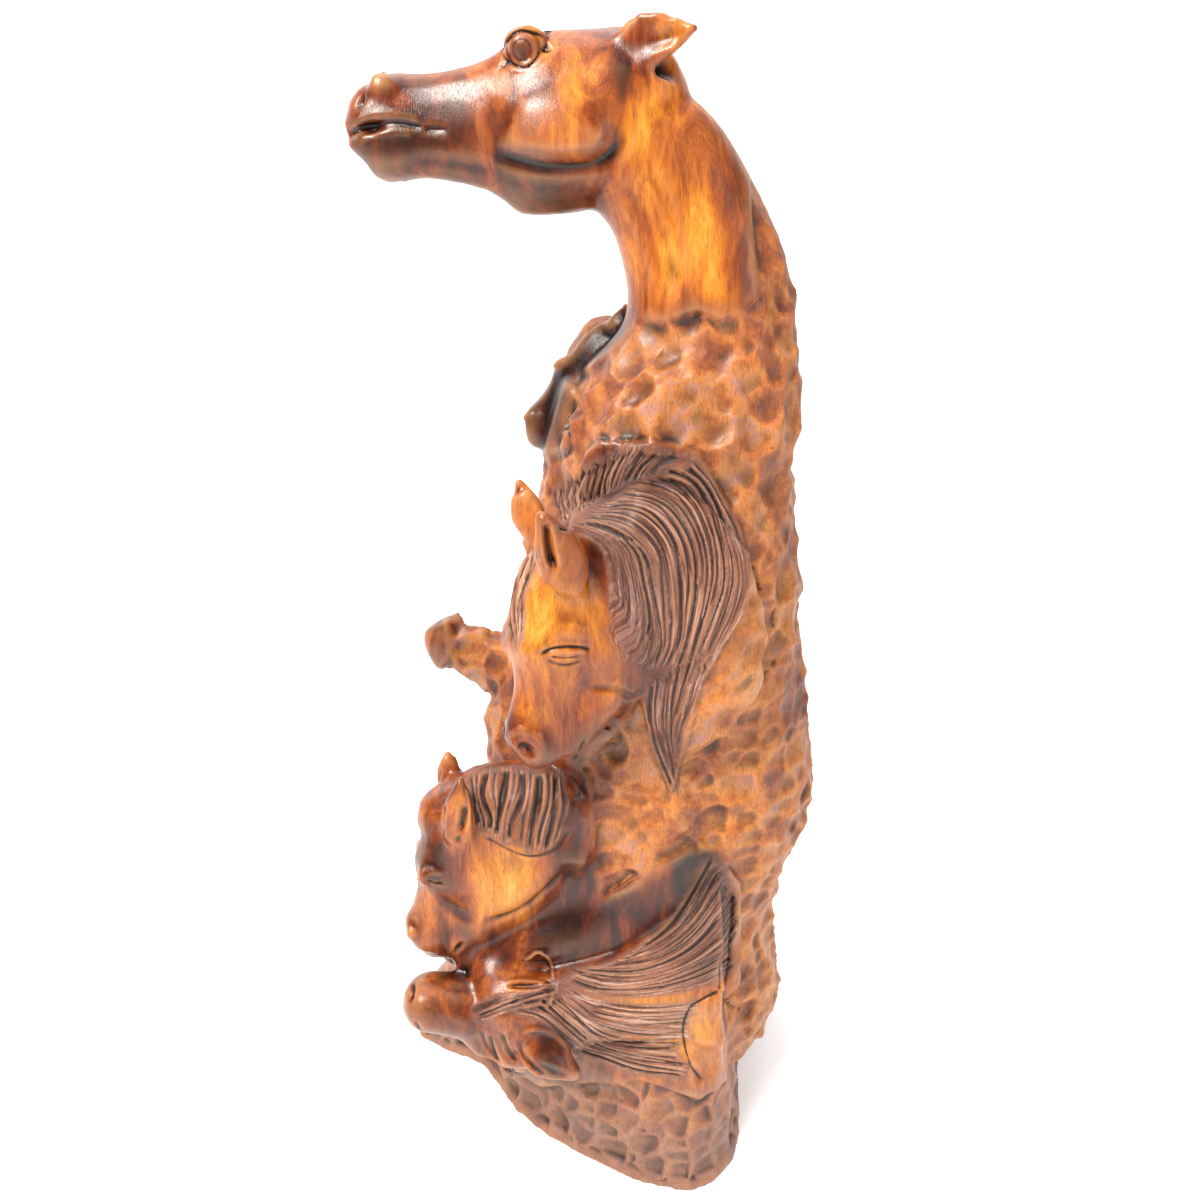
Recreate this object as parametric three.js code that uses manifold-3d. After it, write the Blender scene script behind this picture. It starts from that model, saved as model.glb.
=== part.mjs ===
// A column of hardwood carved into six horse heads. The largest stretches out from a long arched neck at
// the top, and five smaller ones push out of the trunk below it, among gouge cuts and combed manes.
// Millimetres, +Z up, floor at Z = 0. The heads look towards -X and the side seen first faces -Y.
import * as THREE from "three";
import { mergeVertices } from "three/addons/utils/BufferGeometryUtils.js";
import Module from "manifold-3d";

const wasm = await Module();
wasm.setup();

// Driving dimensions
const height = 1000; // floor to the top horse's ear
const gougeDepth = 6; // how far the gouge bites into the trunk
const gougePitch = 64; // from one row of gouge cuts to the next, down the trunk
const gougesAround = 12; // cuts in one row around the trunk
const combDepth = 3.5; // depth of the grooves between locks of mane
const mouthGap = 8; // opening between the top horse's lips
const earThickness = 9; // wood left behind the hollow of an ear

const woodBrown = new THREE.Color(0.42, 0.17, 0.05);
const woodRoughness = 0.38;

// Every place below is in thousandths of the height, as is every radius and width.
const vec = (x, y, z) => new THREE.Vector3(x, y, z);

// A closed geometry as a solid, turned the right way out.
function solid(geometry) {
  geometry.deleteAttribute("normal");
  geometry.deleteAttribute("uv");
  const merged = mergeVertices(geometry, 1e-3);
  const triVerts = new Uint32Array(merged.index.array);
  const vertProperties = merged.getAttribute("position").array;
  const made = new wasm.Manifold(new wasm.Mesh({ numProp: 3, vertProperties, triVerts }));
  if (made.volume() > 0) return made;
  for (let i = 0; i < triVerts.length; i += 3) {
    [triVerts[i + 1], triVerts[i + 2]] = [triVerts[i + 2], triVerts[i + 1]];
  }
  return new wasm.Manifold(new wasm.Mesh({ numProp: 3, vertProperties, triVerts }));
}

// Rows of station values, read smoothly at any share from 0 to 1 of the way from the first row to the last.
function stations(rows) {
  const places = rows.map((_, i) => i);
  const reader = new THREE.CubicInterpolant(places, rows.flat(), rows[0].length);
  return (share) => [...reader.evaluate(share * (rows.length - 1))];
}

// A closed body made of rings: place(point, share, turn, reach) moves each corner of a unit cylinder,
// where turn runs from 0 to 1 around it and reach is 0 at the middle of an end and 1 on the skin.
function sweep(sides, rings, place) {
  const shape = new THREE.CylinderGeometry(1, 1, 1, sides, rings);
  const corners = shape.getAttribute("position");
  const point = new THREE.Vector3();
  for (let i = 0; i < corners.count; i++) {
    point.fromBufferAttribute(corners, i);
    const reach = Math.hypot(point.x, point.z);
    const turn = (Math.atan2(point.z, point.x) / (2 * Math.PI) + 1) % 1;
    place(point, point.y + 0.5, turn, reach);
    corners.setXYZ(i, point.x, point.y, point.z);
  }
  return solid(shape);
}

// A round lump with three radii, turned to a frame of axes.
function lump(centre, radii, axes, detail) {
  const ball = new THREE.SphereGeometry(1, detail, Math.round(detail * 0.6));
  ball.scale(...radii).applyMatrix4(new THREE.Matrix4().makeBasis(...axes).setPosition(centre));
  return solid(ball);
}

// Sections of a horse's head as shares of its length, from behind the poll to the lips: place along it,
// top of the nose bridge, then out and up to the crown, the widest place, the edge of the jaw plate and
// the side of the gullet, and the bottom of the gullet.
const headSections = [
  [-0.13, 0.02, 0.03, 0, 0.05, -0.04, 0.05, -0.1, 0.03, -0.15, -0.17],
  [-0.07, 0.14, 0.07, 0.11, 0.12, 0, 0.11, -0.1, 0.08, -0.2, -0.24],
  [0.02, 0.2, 0.085, 0.165, 0.145, 0.03, 0.145, -0.1, 0.1, -0.24, -0.3],
  [0.12, 0.205, 0.09, 0.175, 0.16, 0.05, 0.168, -0.12, 0.105, -0.26, -0.32],
  [0.22, 0.213, 0.1, 0.18, 0.165, 0.05, 0.182, -0.13, 0.1, -0.27, -0.322],
  [0.32, 0.218, 0.112, 0.185, 0.162, 0.06, 0.182, -0.125, 0.095, -0.27, -0.325],
  [0.4, 0.212, 0.112, 0.17, 0.152, 0.06, 0.17, -0.11, 0.09, -0.26, -0.32],
  [0.47, 0.178, 0.09, 0.145, 0.126, 0.05, 0.14, -0.085, 0.08, -0.24, -0.305],
  [0.54, 0.16, 0.07, 0.13, 0.104, 0.05, 0.108, -0.09, 0.07, -0.18, -0.235],
  [0.64, 0.15, 0.06, 0.125, 0.09, 0.04, 0.087, -0.09, 0.06, -0.155, -0.19],
  [0.74, 0.154, 0.06, 0.125, 0.086, 0.04, 0.082, -0.07, 0.06, -0.13, -0.163],
  [0.82, 0.17, 0.065, 0.135, 0.096, 0.05, 0.086, -0.06, 0.065, -0.12, -0.15],
  [0.89, 0.14, 0.07, 0.11, 0.098, 0.04, 0.086, -0.055, 0.068, -0.115, -0.146],
  [0.95, 0.094, 0.06, 0.075, 0.08, 0.015, 0.072, -0.035, 0.05, -0.07, -0.088],
  [1, 0.04, 0.026, 0.034, 0.034, 0.01, 0.032, -0.012, 0.02, -0.024, -0.03],
];

// The frame of a head: along runs from poll to muzzle, side across it, up towards the nose bridge.
function headFrame(poll, muzzle, faceUp) {
  const along = muzzle.clone().sub(poll).normalize();
  const side = new THREE.Vector3().crossVectors(faceUp, along).normalize();
  const up = new THREE.Vector3().crossVectors(along, side);
  const at = (s, u, w) => poll.clone().addScaledVector(along, s).addScaledVector(up, u).addScaledVector(side, w);
  return { axes: [along, side, up], at };
}

// The skull and jaws: gullet is how much of the throat hangs below the jaw plates, bulk thickens the whole
// head, girth widens it and jowl deepens the jaw plates.
function skull(frame, length, { gullet, girth, bulk, jowl, sides, rings }) {
  const read = stations(headSections);
  return sweep(sides, rings, (point, share, turn, reach) => {
    const [s, top, crownW, crownU, wideW, wideU, jawW, jawU, sideW, sideU, bottom] = read(share);
    const back = 1 - Math.min(1, Math.max(0, (s - 0.4) / 0.2));
    const deep = 1 + (jowl - 1) * back;
    const drop = 1 - (1 - gullet) * back;
    const hang = (u) => jawU * deep + (u - jawU) * drop;
    const half = [
      [0, top],
      [crownW * girth, crownU],
      [wideW * girth, wideU],
      [jawW * girth, jawU * deep],
      [sideW * girth, hang(sideU)],
    ];
    const corners = [...half, [0, hang(bottom)], ...half.slice(1).reverse().map(([w, u]) => [-w, u])];
    const loop = new THREE.CatmullRomCurve3(corners.map(([w, u]) => vec(0, w, u)), true);
    const edge = loop.getPoint(turn);
    const middle = (top + hang(bottom)) / 2;
    const thick = bulk * length;
    point.copy(frame.at(s * length, (middle + (edge.z - middle) * reach) * thick, edge.y * reach * thick));
  });
}

// A leaf-shaped ear from root to tip, hollow on the side it opens to.
function ear({ root, tip, open, width, point = 0.12 }) {
  const length = tip.distanceTo(root);
  const along = tip.clone().sub(root).normalize();
  const across = new THREE.Vector3().crossVectors(open, along).normalize();
  const front = new THREE.Vector3().crossVectors(along, across);
  const read = stations([
    [-0.2, 0.5, 0],
    [0.1, 0.8, 0.35],
    [0.4, 1, 1],
    [0.7, 0.8, 0.9],
    [1, point, 0.1],
  ]);
  return sweep(8, 4, (corner, share, turn, reach) => {
    const [s, spread, scoop] = read(share);
    const half = (width / 2) * spread;
    const cup = Math.sin(2 * Math.PI * turn);
    const hollow = half * 0.55 * (1 - 1.5 * scoop);
    const wall = half * 0.6 + earThickness * 0.3 * spread;
    corner
      .copy(root)
      .addScaledVector(along, s * length)
      .addScaledVector(across, half * Math.cos(2 * Math.PI * turn) * reach)
      .addScaledVector(front, cup * (cup > 0 ? hollow : wall) * reach);
  });
}

// A whole head: skull, brows, nostrils and ears.
function head({ poll, muzzle, faceUp, ears, sides = 12, rings = 13, ...build }) {
  const { gullet = 0.3, girth = 1.05, bulk = 1.15, jowl = 1.3 } = build;
  const frame = headFrame(poll, muzzle, faceUp);
  const length = muzzle.distanceTo(poll);
  const parts = [skull(frame, length, { gullet, girth, bulk, jowl, sides, rings })];
  for (const hand of [-1, 1]) {
    const at = (s, u, w) => frame.at(s * length, u * bulk * length, hand * girth * bulk * w * length);
    const brow = [0.075 * length, 0.05 * length, 0.05 * length];
    const nostril = [0.05 * length, 0.036 * length, 0.035 * length];
    parts.push(lump(at(0.37, 0.165, 0.11), brow, frame.axes, Math.round(sides / 2)));
    parts.push(lump(at(0.84, 0.128, 0.062), nostril, frame.axes, 5));
  }
  return wasm.Manifold.union([...parts, ...ears.map(ear)]);
}

// A bent limb of wood, such as a neck or a mane: rows of x, y, z, half width along y and half thickness
// across its run. Its ends round off, the last one only when it is not cut, and its locks are combed
// grooves along it.
function limb(rows, { sides = 12, rings = 8, locks = 0, cut = false } = {}) {
  const read = stations(rows);
  const side = vec(0, 1, 0);
  return sweep(sides, rings, (point, share, turn, reach) => {
    const [x, y, z, wide, tall] = read(share);
    const ahead = vec(...read(Math.min(1, share + 0.02)));
    const along = ahead.sub(vec(...read(Math.max(0, share - 0.02)))).normalize();
    const up = new THREE.Vector3().crossVectors(side, along).normalize();
    const angle = 2 * Math.PI * turn;
    const comb = locks > 0 ? (combDepth / 2) * (Math.cos(locks * angle) - 1) : 0;
    const end = cut ? share : Math.min(share, 1 - share);
    const ease = Math.min(1, 0.45 + 4 * end) * reach;
    point
      .set(x, y, z)
      .addScaledVector(side, (wide + comb) * Math.cos(angle) * ease)
      .addScaledVector(up, (tall + comb) * Math.sin(angle) * ease);
  });
}

// How deep the gouge bites at a place on the trunk: rows of round scoops, each row half a cut on.
function gouge(down, turn) {
  const row = Math.floor(down / gougePitch);
  const along = down / gougePitch - row - 0.5;
  const around = turn * gougesAround + (row % 2) * 0.5;
  const over = around - Math.floor(around) - 0.5;
  return gougeDepth * (1 - Math.min(1, 4 * (along ** 2 + over ** 2)));
}

// Sections of neck and trunk, from the top head down: the throat edge x, z, the crest edge x, z, the middle
// y, the half depth, and how much of the gouge's bite shows there.
const columnSections = [
  [-45, 893, 5, 968, 0, 34, 0],
  [-24, 877, 42, 951, 0, 38, 0],
  [-13, 864, 64, 932, 0, 41, 0],
  [-7, 848, 82, 908, 1, 44, 0],
  [-3, 832, 98, 884, 2, 48, 0],
  [-1, 812, 120, 852, 4, 54, 0],
  [-9, 790, 131, 815, 6, 62, 0.6],
  [-38, 758, 138, 772, 8, 76, 1],
  [-55, 715, 143, 735, 8, 86, 1],
  [-60, 660, 142, 688, 8, 92, 1],
  [-70, 600, 149, 636, 6, 98, 1],
  [-80, 530, 156, 562, 4, 102, 1],
  [-88, 450, 170, 470, 2, 106, 1],
  [-92, 370, 184, 388, 2, 110, 1],
  [-96, 300, 166, 308, 4, 112, 1],
  [-104, 230, 158, 232, 8, 116, 1],
  [-110, 150, 174, 145, 10, 122, 0.8],
  [-104, 90, 160, 90, 10, 118, 0],
];

function column() {
  const read = stations(columnSections);
  return sweep(2 * gougesAround, 40, (point, share, turn, reach) => {
    const [frontX, frontZ, backX, backZ, y, deep, cut] = read(share);
    const outer = Math.cos(2 * Math.PI * turn);
    const depth = Math.sin(2 * Math.PI * turn);
    const half = Math.hypot(backX - frontX, backZ - frontZ) / 2;
    const bite = cut * gouge((frontZ + backZ) / 2, turn);
    const out = Math.sign(outer) * Math.abs(outer) ** 0.9 * (1 - bite / half) * reach;
    point.set(
      (frontX + backX) / 2 + ((backX - frontX) / 2) * out,
      y + Math.sign(depth) * Math.abs(depth) ** 0.85 * (deep - bite) * reach,
      (frontZ + backZ) / 2 + ((backZ - frontZ) / 2) * out,
    );
  });
}

// The foot: smooth closed outlines through x, y corners, from the floor up.
const footOutlines = [
  [
    [66, -153], [112, -122], [127, -65], [134, 0], [168, 70], [150, 125], [60, 160],
    [-60, 160], [-150, 128], [-226, 82], [-232, 28], [-152, -12], [-112, -66], [-38, -117],
  ],
  [
    [64, -146], [108, -116], [122, -62], [140, 0], [188, 66], [172, 124], [64, 162],
    [-60, 158], [-146, 122], [-212, 72], [-214, 18], [-144, -18], [-104, -66], [-34, -116],
  ],
  [
    [62, -136], [102, -106], [118, -56], [142, 4], [176, 60], [158, 108], [62, 144],
    [-56, 140], [-124, 104], [-172, 54], [-170, 4], [-128, -26], [-90, -70], [-28, -112],
  ],
  [
    [54, -112], [88, -88], [104, -46], [116, 8], [130, 50], [116, 84], [48, 108],
    [-46, 104], [-92, 76], [-118, 34], [-112, -8], [-92, -38], [-64, -66], [-20, -92],
  ],
];
const footHeights = [0, 70, 150, 225];
const footMiddle = vec(0, 5, 0);

function foot() {
  const loops = footOutlines.map((loop) => new THREE.CatmullRomCurve3(loop.map(([x, y]) => vec(x, y, 0)), true));
  const floors = footHeights.length - 1;
  return sweep(28, 9, (point, share, turn, reach) => {
    const level = Math.min(floors - 1, Math.floor(share * floors));
    const blend = share * floors - level;
    const edge = loops[level].getPoint(1 - turn).lerp(loops[level + 1].getPoint(1 - turn), blend).sub(footMiddle);
    const z = footHeights[level] + (footHeights[level + 1] - footHeights[level]) * blend;
    const bite = share > 0 ? gouge(z, turn) : 0;
    edge.setLength(edge.length() - bite);
    point.set(footMiddle.x + edge.x * reach, footMiddle.y + edge.y * reach, z);
  });
}

function topHorse() {
  const poll = vec(12, 0, 952);
  const muzzle = vec(-202, 0, 926);
  const faceUp = vec(0, 0.14, 1);
  const swept = [-1, 1].map((hand) => ({
    root: vec(8, hand * 19, 984),
    tip: vec(41, hand * 27, 990),
    open: vec(0.1, hand, -0.1),
    width: 27,
  }));
  const build = { gullet: 1, girth: 1, bulk: 1, jowl: 1, sides: 18, rings: 22 };
  const whole = head({ poll, muzzle, faceUp, ears: swept, ...build });
  const frame = headFrame(poll, muzzle, faceUp);
  const length = muzzle.distanceTo(poll);
  return whole.subtract(lump(frame.at(0.97 * length, 0, 0), [0.22 * length, 60, mouthGap / 2], frame.axes, 12));
}

function midHorse() {
  return [
    head({
      poll: vec(-46, -98, 636),
      muzzle: vec(-72, -126, 478),
      faceUp: vec(-0.92, -0.4, 0.1),
      jowl: 1.7,
      sides: 16,
      rings: 16,
      ears: [
        { root: vec(-44, -126, 634), tip: vec(-64, -126, 688), open: vec(-0.9, -0.3, 0), width: 30 },
        { root: vec(-72, -76, 640), tip: vec(-82, -64, 692), open: vec(-0.6, -0.8, 0), width: 31 },
      ],
    }),
    limb(
      [
        [-44, -88, 640, 28, 20],
        [-16, -94, 664, 36, 34],
        [24, -96, 648, 40, 50],
        [54, -96, 600, 40, 54],
        [62, -96, 540, 38, 48],
        [50, -98, 492, 30, 30],
        [42, -96, 456, 16, 12],
      ],
      { locks: 9, sides: 18, rings: 9 },
    ),
    limb(
      [
        [-46, -80, 640, 30, 26],
        [-14, -78, 626, 40, 44],
        [16, -74, 580, 46, 50],
        [26, -70, 520, 44, 44],
        [20, -66, 460, 36, 36],
      ],
      { sides: 12, rings: 6 },
    ),
  ];
}

function thirdHorse() {
  return [
    head({
      poll: vec(-134, -74, 394),
      muzzle: vec(-180, -94, 256),
      faceUp: vec(-0.92, -0.2, 0.3),
      bulk: 1.2,
      jowl: 2,
      ears: [
        { root: vec(-138, -104, 380), tip: vec(-138, -98, 438), open: vec(-0.6, -0.8, 0), width: 24 },
        { root: vec(-164, -48, 390), tip: vec(-158, -42, 430), open: vec(-0.8, -0.4, 0), width: 24 },
      ],
    }),
    limb(
      [
        [-146, -64, 360, 36, 40],
        [-120, -68, 388, 40, 44],
        [-84, -66, 384, 44, 56],
        [-48, -58, 366, 46, 66],
        [-10, -48, 350, 46, 60],
      ],
      { locks: 8, sides: 16, rings: 6 },
    ),
  ];
}

function bottomHorse() {
  return [
    head({
      poll: vec(-62, -116, 214),
      muzzle: vec(-196, -120, 212),
      faceUp: vec(-0.05, -0.36, 0.93),
      girth: 1.15,
      bulk: 1.35,
      ears: [
        { root: vec(-88, -144, 198), tip: vec(-42, -160, 174), open: vec(0.2, -0.4, -0.9), width: 32, point: 0.5 },
        { root: vec(-98, -90, 236), tip: vec(-60, -82, 232), open: vec(0, -0.3, 0.9), width: 26 },
      ],
    }),
    limb(
      [
        [-84, -108, 206, 36, 40],
        [-46, -108, 214, 38, 46],
        [0, -106, 222, 38, 56],
        [44, -106, 231, 36, 80],
        [89, -104, 234, 30, 117],
      ],
      { locks: 12, sides: 24, rings: 6, cut: true },
    ),
    limb(
      [
        [-130, -74, 226, 26, 22],
        [-60, -66, 262, 40, 34],
        [0, -64, 294, 46, 40],
        [66, -60, 336, 46, 40],
      ],
      { sides: 12, rings: 5 },
    ),
  ];
}

function farHorses() {
  return [
    head({
      poll: vec(-34, 50, 452),
      muzzle: vec(-198, 98, 482),
      faceUp: vec(0.1, 0.15, 1),
      jowl: 1.6,
      ears: [
        { root: vec(-52, 92, 478), tip: vec(-26, 106, 512), open: vec(-0.8, 0.5, 0), width: 26 },
        { root: vec(-60, 42, 486), tip: vec(-46, 28, 530), open: vec(-0.8, -0.5, 0), width: 26 },
      ],
    }),
    limb(
      [
        [-50, 56, 476, 44, 46],
        [-86, 52, 440, 54, 50],
        [-90, 46, 390, 60, 50],
        [-82, 42, 320, 58, 54],
        [-68, 36, 240, 50, 48],
        [-52, 32, 160, 40, 40],
      ],
      { locks: 9, sides: 18, rings: 7 },
    ),
    head({
      poll: vec(-7, 54, 783),
      muzzle: vec(-81, 66, 686),
      faceUp: vec(-0.72, 0.3, 0.62),
      ears: [
        { root: vec(-2, 78, 780), tip: vec(22, 92, 798), open: vec(-0.4, 0.8, 0.2), width: 24 },
        { root: vec(-12, 34, 794), tip: vec(6, 24, 812), open: vec(-0.8, -0.5, 0), width: 20 },
      ],
    }),
    limb(
      [
        [0, 50, 776, 40, 40],
        [-12, 48, 720, 50, 52],
        [-24, 46, 650, 56, 56],
        [-30, 44, 585, 56, 56],
        [-20, 40, 510, 46, 46],
        [0, 34, 430, 30, 34],
      ],
      { locks: 9, sides: 18, rings: 7 },
    ),
  ];
}

// The whole carving is one piece of wood, brought to its full height.
const united = wasm.Manifold.union([
  column(),
  foot(),
  topHorse(),
  ...midHorse(),
  ...thirdHorse(),
  ...bottomHorse(),
  ...farHorses(),
]);
const scale = height / united.boundingBox().max[2];
const whole = united.scale([scale, scale, scale]);

function geometryOf(made) {
  const mesh = made.getMesh();
  const geometry = new THREE.BufferGeometry();
  geometry.setAttribute("position", new THREE.BufferAttribute(new Float32Array(mesh.vertProperties), 3));
  geometry.setIndex(new THREE.BufferAttribute(new Uint32Array(mesh.triVerts), 1));
  geometry.computeVertexNormals();
  return geometry;
}

const wood = new THREE.MeshStandardMaterial({ color: woodBrown, roughness: woodRoughness, metalness: 0 });
const carving = new THREE.Mesh(geometryOf(whole), wood);
carving.name = "horse_carving";

const part = new THREE.Group();
part.add(carving);
export default part;
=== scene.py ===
# A wooden horse head sculpture: six horses cut from one log of varnished hardwood, about a metre tall.
import math

import bmesh
import bpy
import numpy as np
from mathutils import Matrix, Vector, kdtree
from mathutils.bvhtree import BVHTree


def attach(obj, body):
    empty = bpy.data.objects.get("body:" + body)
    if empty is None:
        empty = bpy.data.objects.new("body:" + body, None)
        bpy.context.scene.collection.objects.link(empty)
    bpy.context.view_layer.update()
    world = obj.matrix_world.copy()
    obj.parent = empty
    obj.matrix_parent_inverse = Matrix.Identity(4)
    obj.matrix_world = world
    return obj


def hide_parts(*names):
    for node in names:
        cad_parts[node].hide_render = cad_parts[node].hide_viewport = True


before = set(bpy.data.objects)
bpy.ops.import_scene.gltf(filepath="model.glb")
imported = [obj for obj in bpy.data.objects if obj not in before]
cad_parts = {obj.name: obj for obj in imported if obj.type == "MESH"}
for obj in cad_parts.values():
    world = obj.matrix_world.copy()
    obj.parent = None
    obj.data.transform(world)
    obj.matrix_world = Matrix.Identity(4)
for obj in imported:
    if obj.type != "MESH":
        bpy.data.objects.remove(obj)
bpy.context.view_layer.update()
mm = 0.001

# Where the photograph was taken from. Pixels are counted on its 1200 x 1200 frame, from the top left.
photoView = {
    "eye": (-0.022, -0.720, 0.886),
    "lookDown": 24.0,  # degrees
    "focal": 900.0,  # pixels
    "middle": 600.0,
}


def viewAxes():
    tilt = math.radians(photoView["lookDown"])
    ahead = Vector((0, math.cos(tilt), -math.sin(tilt)))
    up = Vector((0, math.sin(tilt), math.cos(tilt)))
    return ahead, up


def sightLine(u, v):
    ahead, up = viewAxes()
    across = (u - photoView["middle"]) / photoView["focal"]
    rise = (photoView["middle"] - v) / photoView["focal"]
    return (ahead + Vector((1, 0, 0)) * across + up * rise).normalized()


def toPixels(points):
    ahead, up = (np.array(axis) for axis in viewAxes())
    away = points - np.array(photoView["eye"])
    depth = away @ ahead
    u = photoView["middle"] + photoView["focal"] * away[:, 0] / depth
    v = photoView["middle"] - photoView["focal"] * (away @ up) / depth
    return np.stack([u, v], 1)


def smoothStep(value, low, high):
    share = np.clip((value - low) / (high - low), 0, 1)
    return share * share * (3 - 2 * share)


def ripple(points, wavelength, seed, waves=10):
    # seeded soft undulation, about -1 to 1
    dice = np.random.default_rng(seed)
    turns = dice.normal(size=(waves, 3))
    turns *= 2 * math.pi / wavelength / np.linalg.norm(turns, axis=1, keepdims=True)
    turns *= dice.uniform(0.7, 1.4, (waves, 1))
    return np.sin(points @ turns.T + dice.uniform(0, 2 * math.pi, waves)).sum(1) / math.sqrt(waves)


def unit(vectors):
    return vectors / np.maximum(np.linalg.norm(vectors, axis=-1, keepdims=True), 1e-9)


# The block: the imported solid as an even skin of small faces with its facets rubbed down.
block = {
    "skin": 3.4 * mm,  # face size before it is halved
    "rubbing": 20,  # rounds that take the facets off
    "flatBelow": 2 * mm,  # what lies lower is the flat underside
    "strokes": (0.5, -0.548),  # forward and back
    "triangles": 196000,  # of the finished mesh
}


def evaluated(piece):
    shown = piece.evaluated_get(bpy.context.evaluated_depsgraph_get())
    mesh = bpy.data.meshes.new_from_object(shown)
    piece.modifiers.clear()
    old, piece.data = piece.data, mesh
    bpy.data.meshes.remove(old)


def pointsOf(mesh):
    flat = np.empty(len(mesh.vertices) * 3)
    mesh.vertices.foreach_get("co", flat)
    return flat.reshape(-1, 3)


def edgesOf(mesh):
    flat = np.empty(len(mesh.edges) * 2, dtype=np.int32)
    mesh.edges.foreach_get("vertices", flat)
    return flat.reshape(-1, 2)


def neighbourMean(values, edges):
    count = len(values)
    a, b = edges[:, 0], edges[:, 1]
    share = np.maximum(np.bincount(a, minlength=count) + np.bincount(b, minlength=count), 1)
    if values.ndim == 1:
        return (np.bincount(a, values[b], count) + np.bincount(b, values[a], count)) / share
    sums = [np.bincount(a, values[b, k], count) + np.bincount(b, values[a, k], count) for k in range(3)]
    return np.stack(sums, 1) / share[:, None]


def rub(points, edges, rounds):
    # forward and back strokes, so that the facets go and the size stays
    for _ in range(rounds):
        for stroke in block["strokes"]:
            points = points + stroke * (neighbourMean(points, edges) - points)
    return points


def pixelPoint(u, v, y):
    # the point on a pixel's sight line that lies y millimetres along the depth axis
    eye, sight = Vector(photoView["eye"]), sightLine(u, v)
    return eye + sight * ((y * mm - eye.y) / sight.y)


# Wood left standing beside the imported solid: rows of swellings (u, v, depth y, radius) and leaf shapes for
# the ears, all in pixels of the photograph and millimetres.
swellings = {
    "chin": [(374, 150, 0, 10), (388, 160, 0, 15), (404, 161, 0, 14), (430, 156, 0, 14)],
    "mouthFloor": [(362, 140, 0, 9), (380, 136, 0, 12), (424, 131, 0, 15)],
    "upperLip": [(357, 124, 0, 8), (364, 112, 0, 12), (372, 104, 0, 13)],
    "midTemple": [(592, 540, -90, 20), (604, 556, -92, 24), (612, 580, -94, 26)],
    "midCheek": [(612, 590, -98, 26), (618, 640, -99, 30), (622, 668, -101, 22)],
    "midJaw": [(622, 668, -101, 22), (600, 690, -104, 24), (580, 715, -108, 24), (570, 735, -114, 18)],
    "bottomFarBrow": [(493, 975, -112, 20), (508, 975, -110, 19), (530, 972, -106, 17)],
    "bottomFace": [(432, 1001, -124, 27), (470, 1006, -120, 29), (520, 1010, -118, 33), (570, 1010, -112, 34)],
    "bottomCheek": [(478, 1030, -128, 18), (505, 1045, -130, 20), (530, 1048, -130, 18)],
    "bottomNeck": [
        (470, 952, -92, 18), (520, 940, -88, 26), (580, 925, -80, 32), (640, 905, -76, 36), (690, 880, -72, 30),
    ],
    "thirdCheek": [(462, 862, -78, 30), (500, 880, -78, 34), (535, 862, -74, 34), (556, 830, -70, 34)],
    "thirdMuzzle": [(462, 880, -76, 28), (446, 905, -80, 26), (442, 925, -84, 22), (448, 940, -84, 16)],
    "thirdJaw": [
        (436, 940, -86, 16), (458, 936, -88, 20), (484, 908, -86, 27), (512, 892, -82, 30), (540, 866, -78, 30),
    ],
    "thirdThroat": [
        (456, 950, -70, 14), (470, 945, -66, 16), (478, 922, -50, 26), (510, 920, -62, 22), (552, 892, -62, 28),
        (580, 850, -66, 30), (586, 800, -70, 30),
    ],
    "thirdNape": [(545, 912, -72, 24), (560, 904, -72, 27), (576, 896, -70, 28), (592, 878, -70, 24)],
    "thirdCrown": [(450, 815, -70, 30), (490, 800, -68, 34), (540, 795, -68, 34), (570, 800, -68, 30)],
}
# The top horse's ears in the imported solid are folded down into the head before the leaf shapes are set.
foldedEars = {"above": 974, "beside": 13, "from": -2, "to": 70, "into": (10, 12, 958), "left": 0.2}
leaves = {  # root and tip (u, v, depth y), width, thickness, how far the middle is cupped, the way it opens
    "topNear": ((604, 52, -16), (698, 27, -36), 31, 15, 7, (0.1, -1, 0.1)),
    "topFar": ((608, 50, 14), (690, 31, 32), 30, 15, 7, (0.1, 1, 0.1)),
    "midNear": ((580, 600, -130), (539, 510, -146), 35, 17, 0, (0.35, -0.9, 0.1)),
    "midFar": ((536, 545, -76), (518, 478, -66), 26, 16, 0, (-0.3, -0.9, 0.3)),
    "thirdNear": ((456, 857, -106), (461, 776, -101), 29, 15, 0, (-0.1, -0.97, 0.2)),
    "thirdFar": ((452, 802, -52), (447, 750, -42), 24, 15, 0, (-0.3, -0.9, 0.3)),
    "bottomNear": ((514, 1034, -150), (582, 1079, -160), 38, 14, 3, (-0.2, -0.8, 0.6)),
    "bottomFar": ((518, 982, -114), (560, 954, -100), 30, 14, 2, (-0.1, -0.6, 0.8)),
}
melted = [  # outlines in the photograph where the added wood is blended in, and the rounds it takes
    ([(505, 600), (600, 600), (660, 650), (640, 710), (580, 755), (540, 720), (510, 690)], 30),
    ([(595, 540), (620, 540), (640, 600), (640, 660), (600, 620)], 24),
    ([(430, 845), (560, 845), (560, 890), (480, 935), (430, 920)], 22),
    ([(470, 930), (560, 890), (700, 850), (690, 900), (600, 950), (480, 965)], 26),
    ([(420, 975), (560, 975), (560, 1030), (500, 1060), (430, 1035)], 18),
    ([(598, 98), (642, 98), (642, 132), (598, 132)], 44),
    ([(478, 78), (516, 78), (516, 108), (478, 108)], 30),
    ([(470, 950), (520, 950), (520, 1000), (470, 1000)], 14),
]


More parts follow.
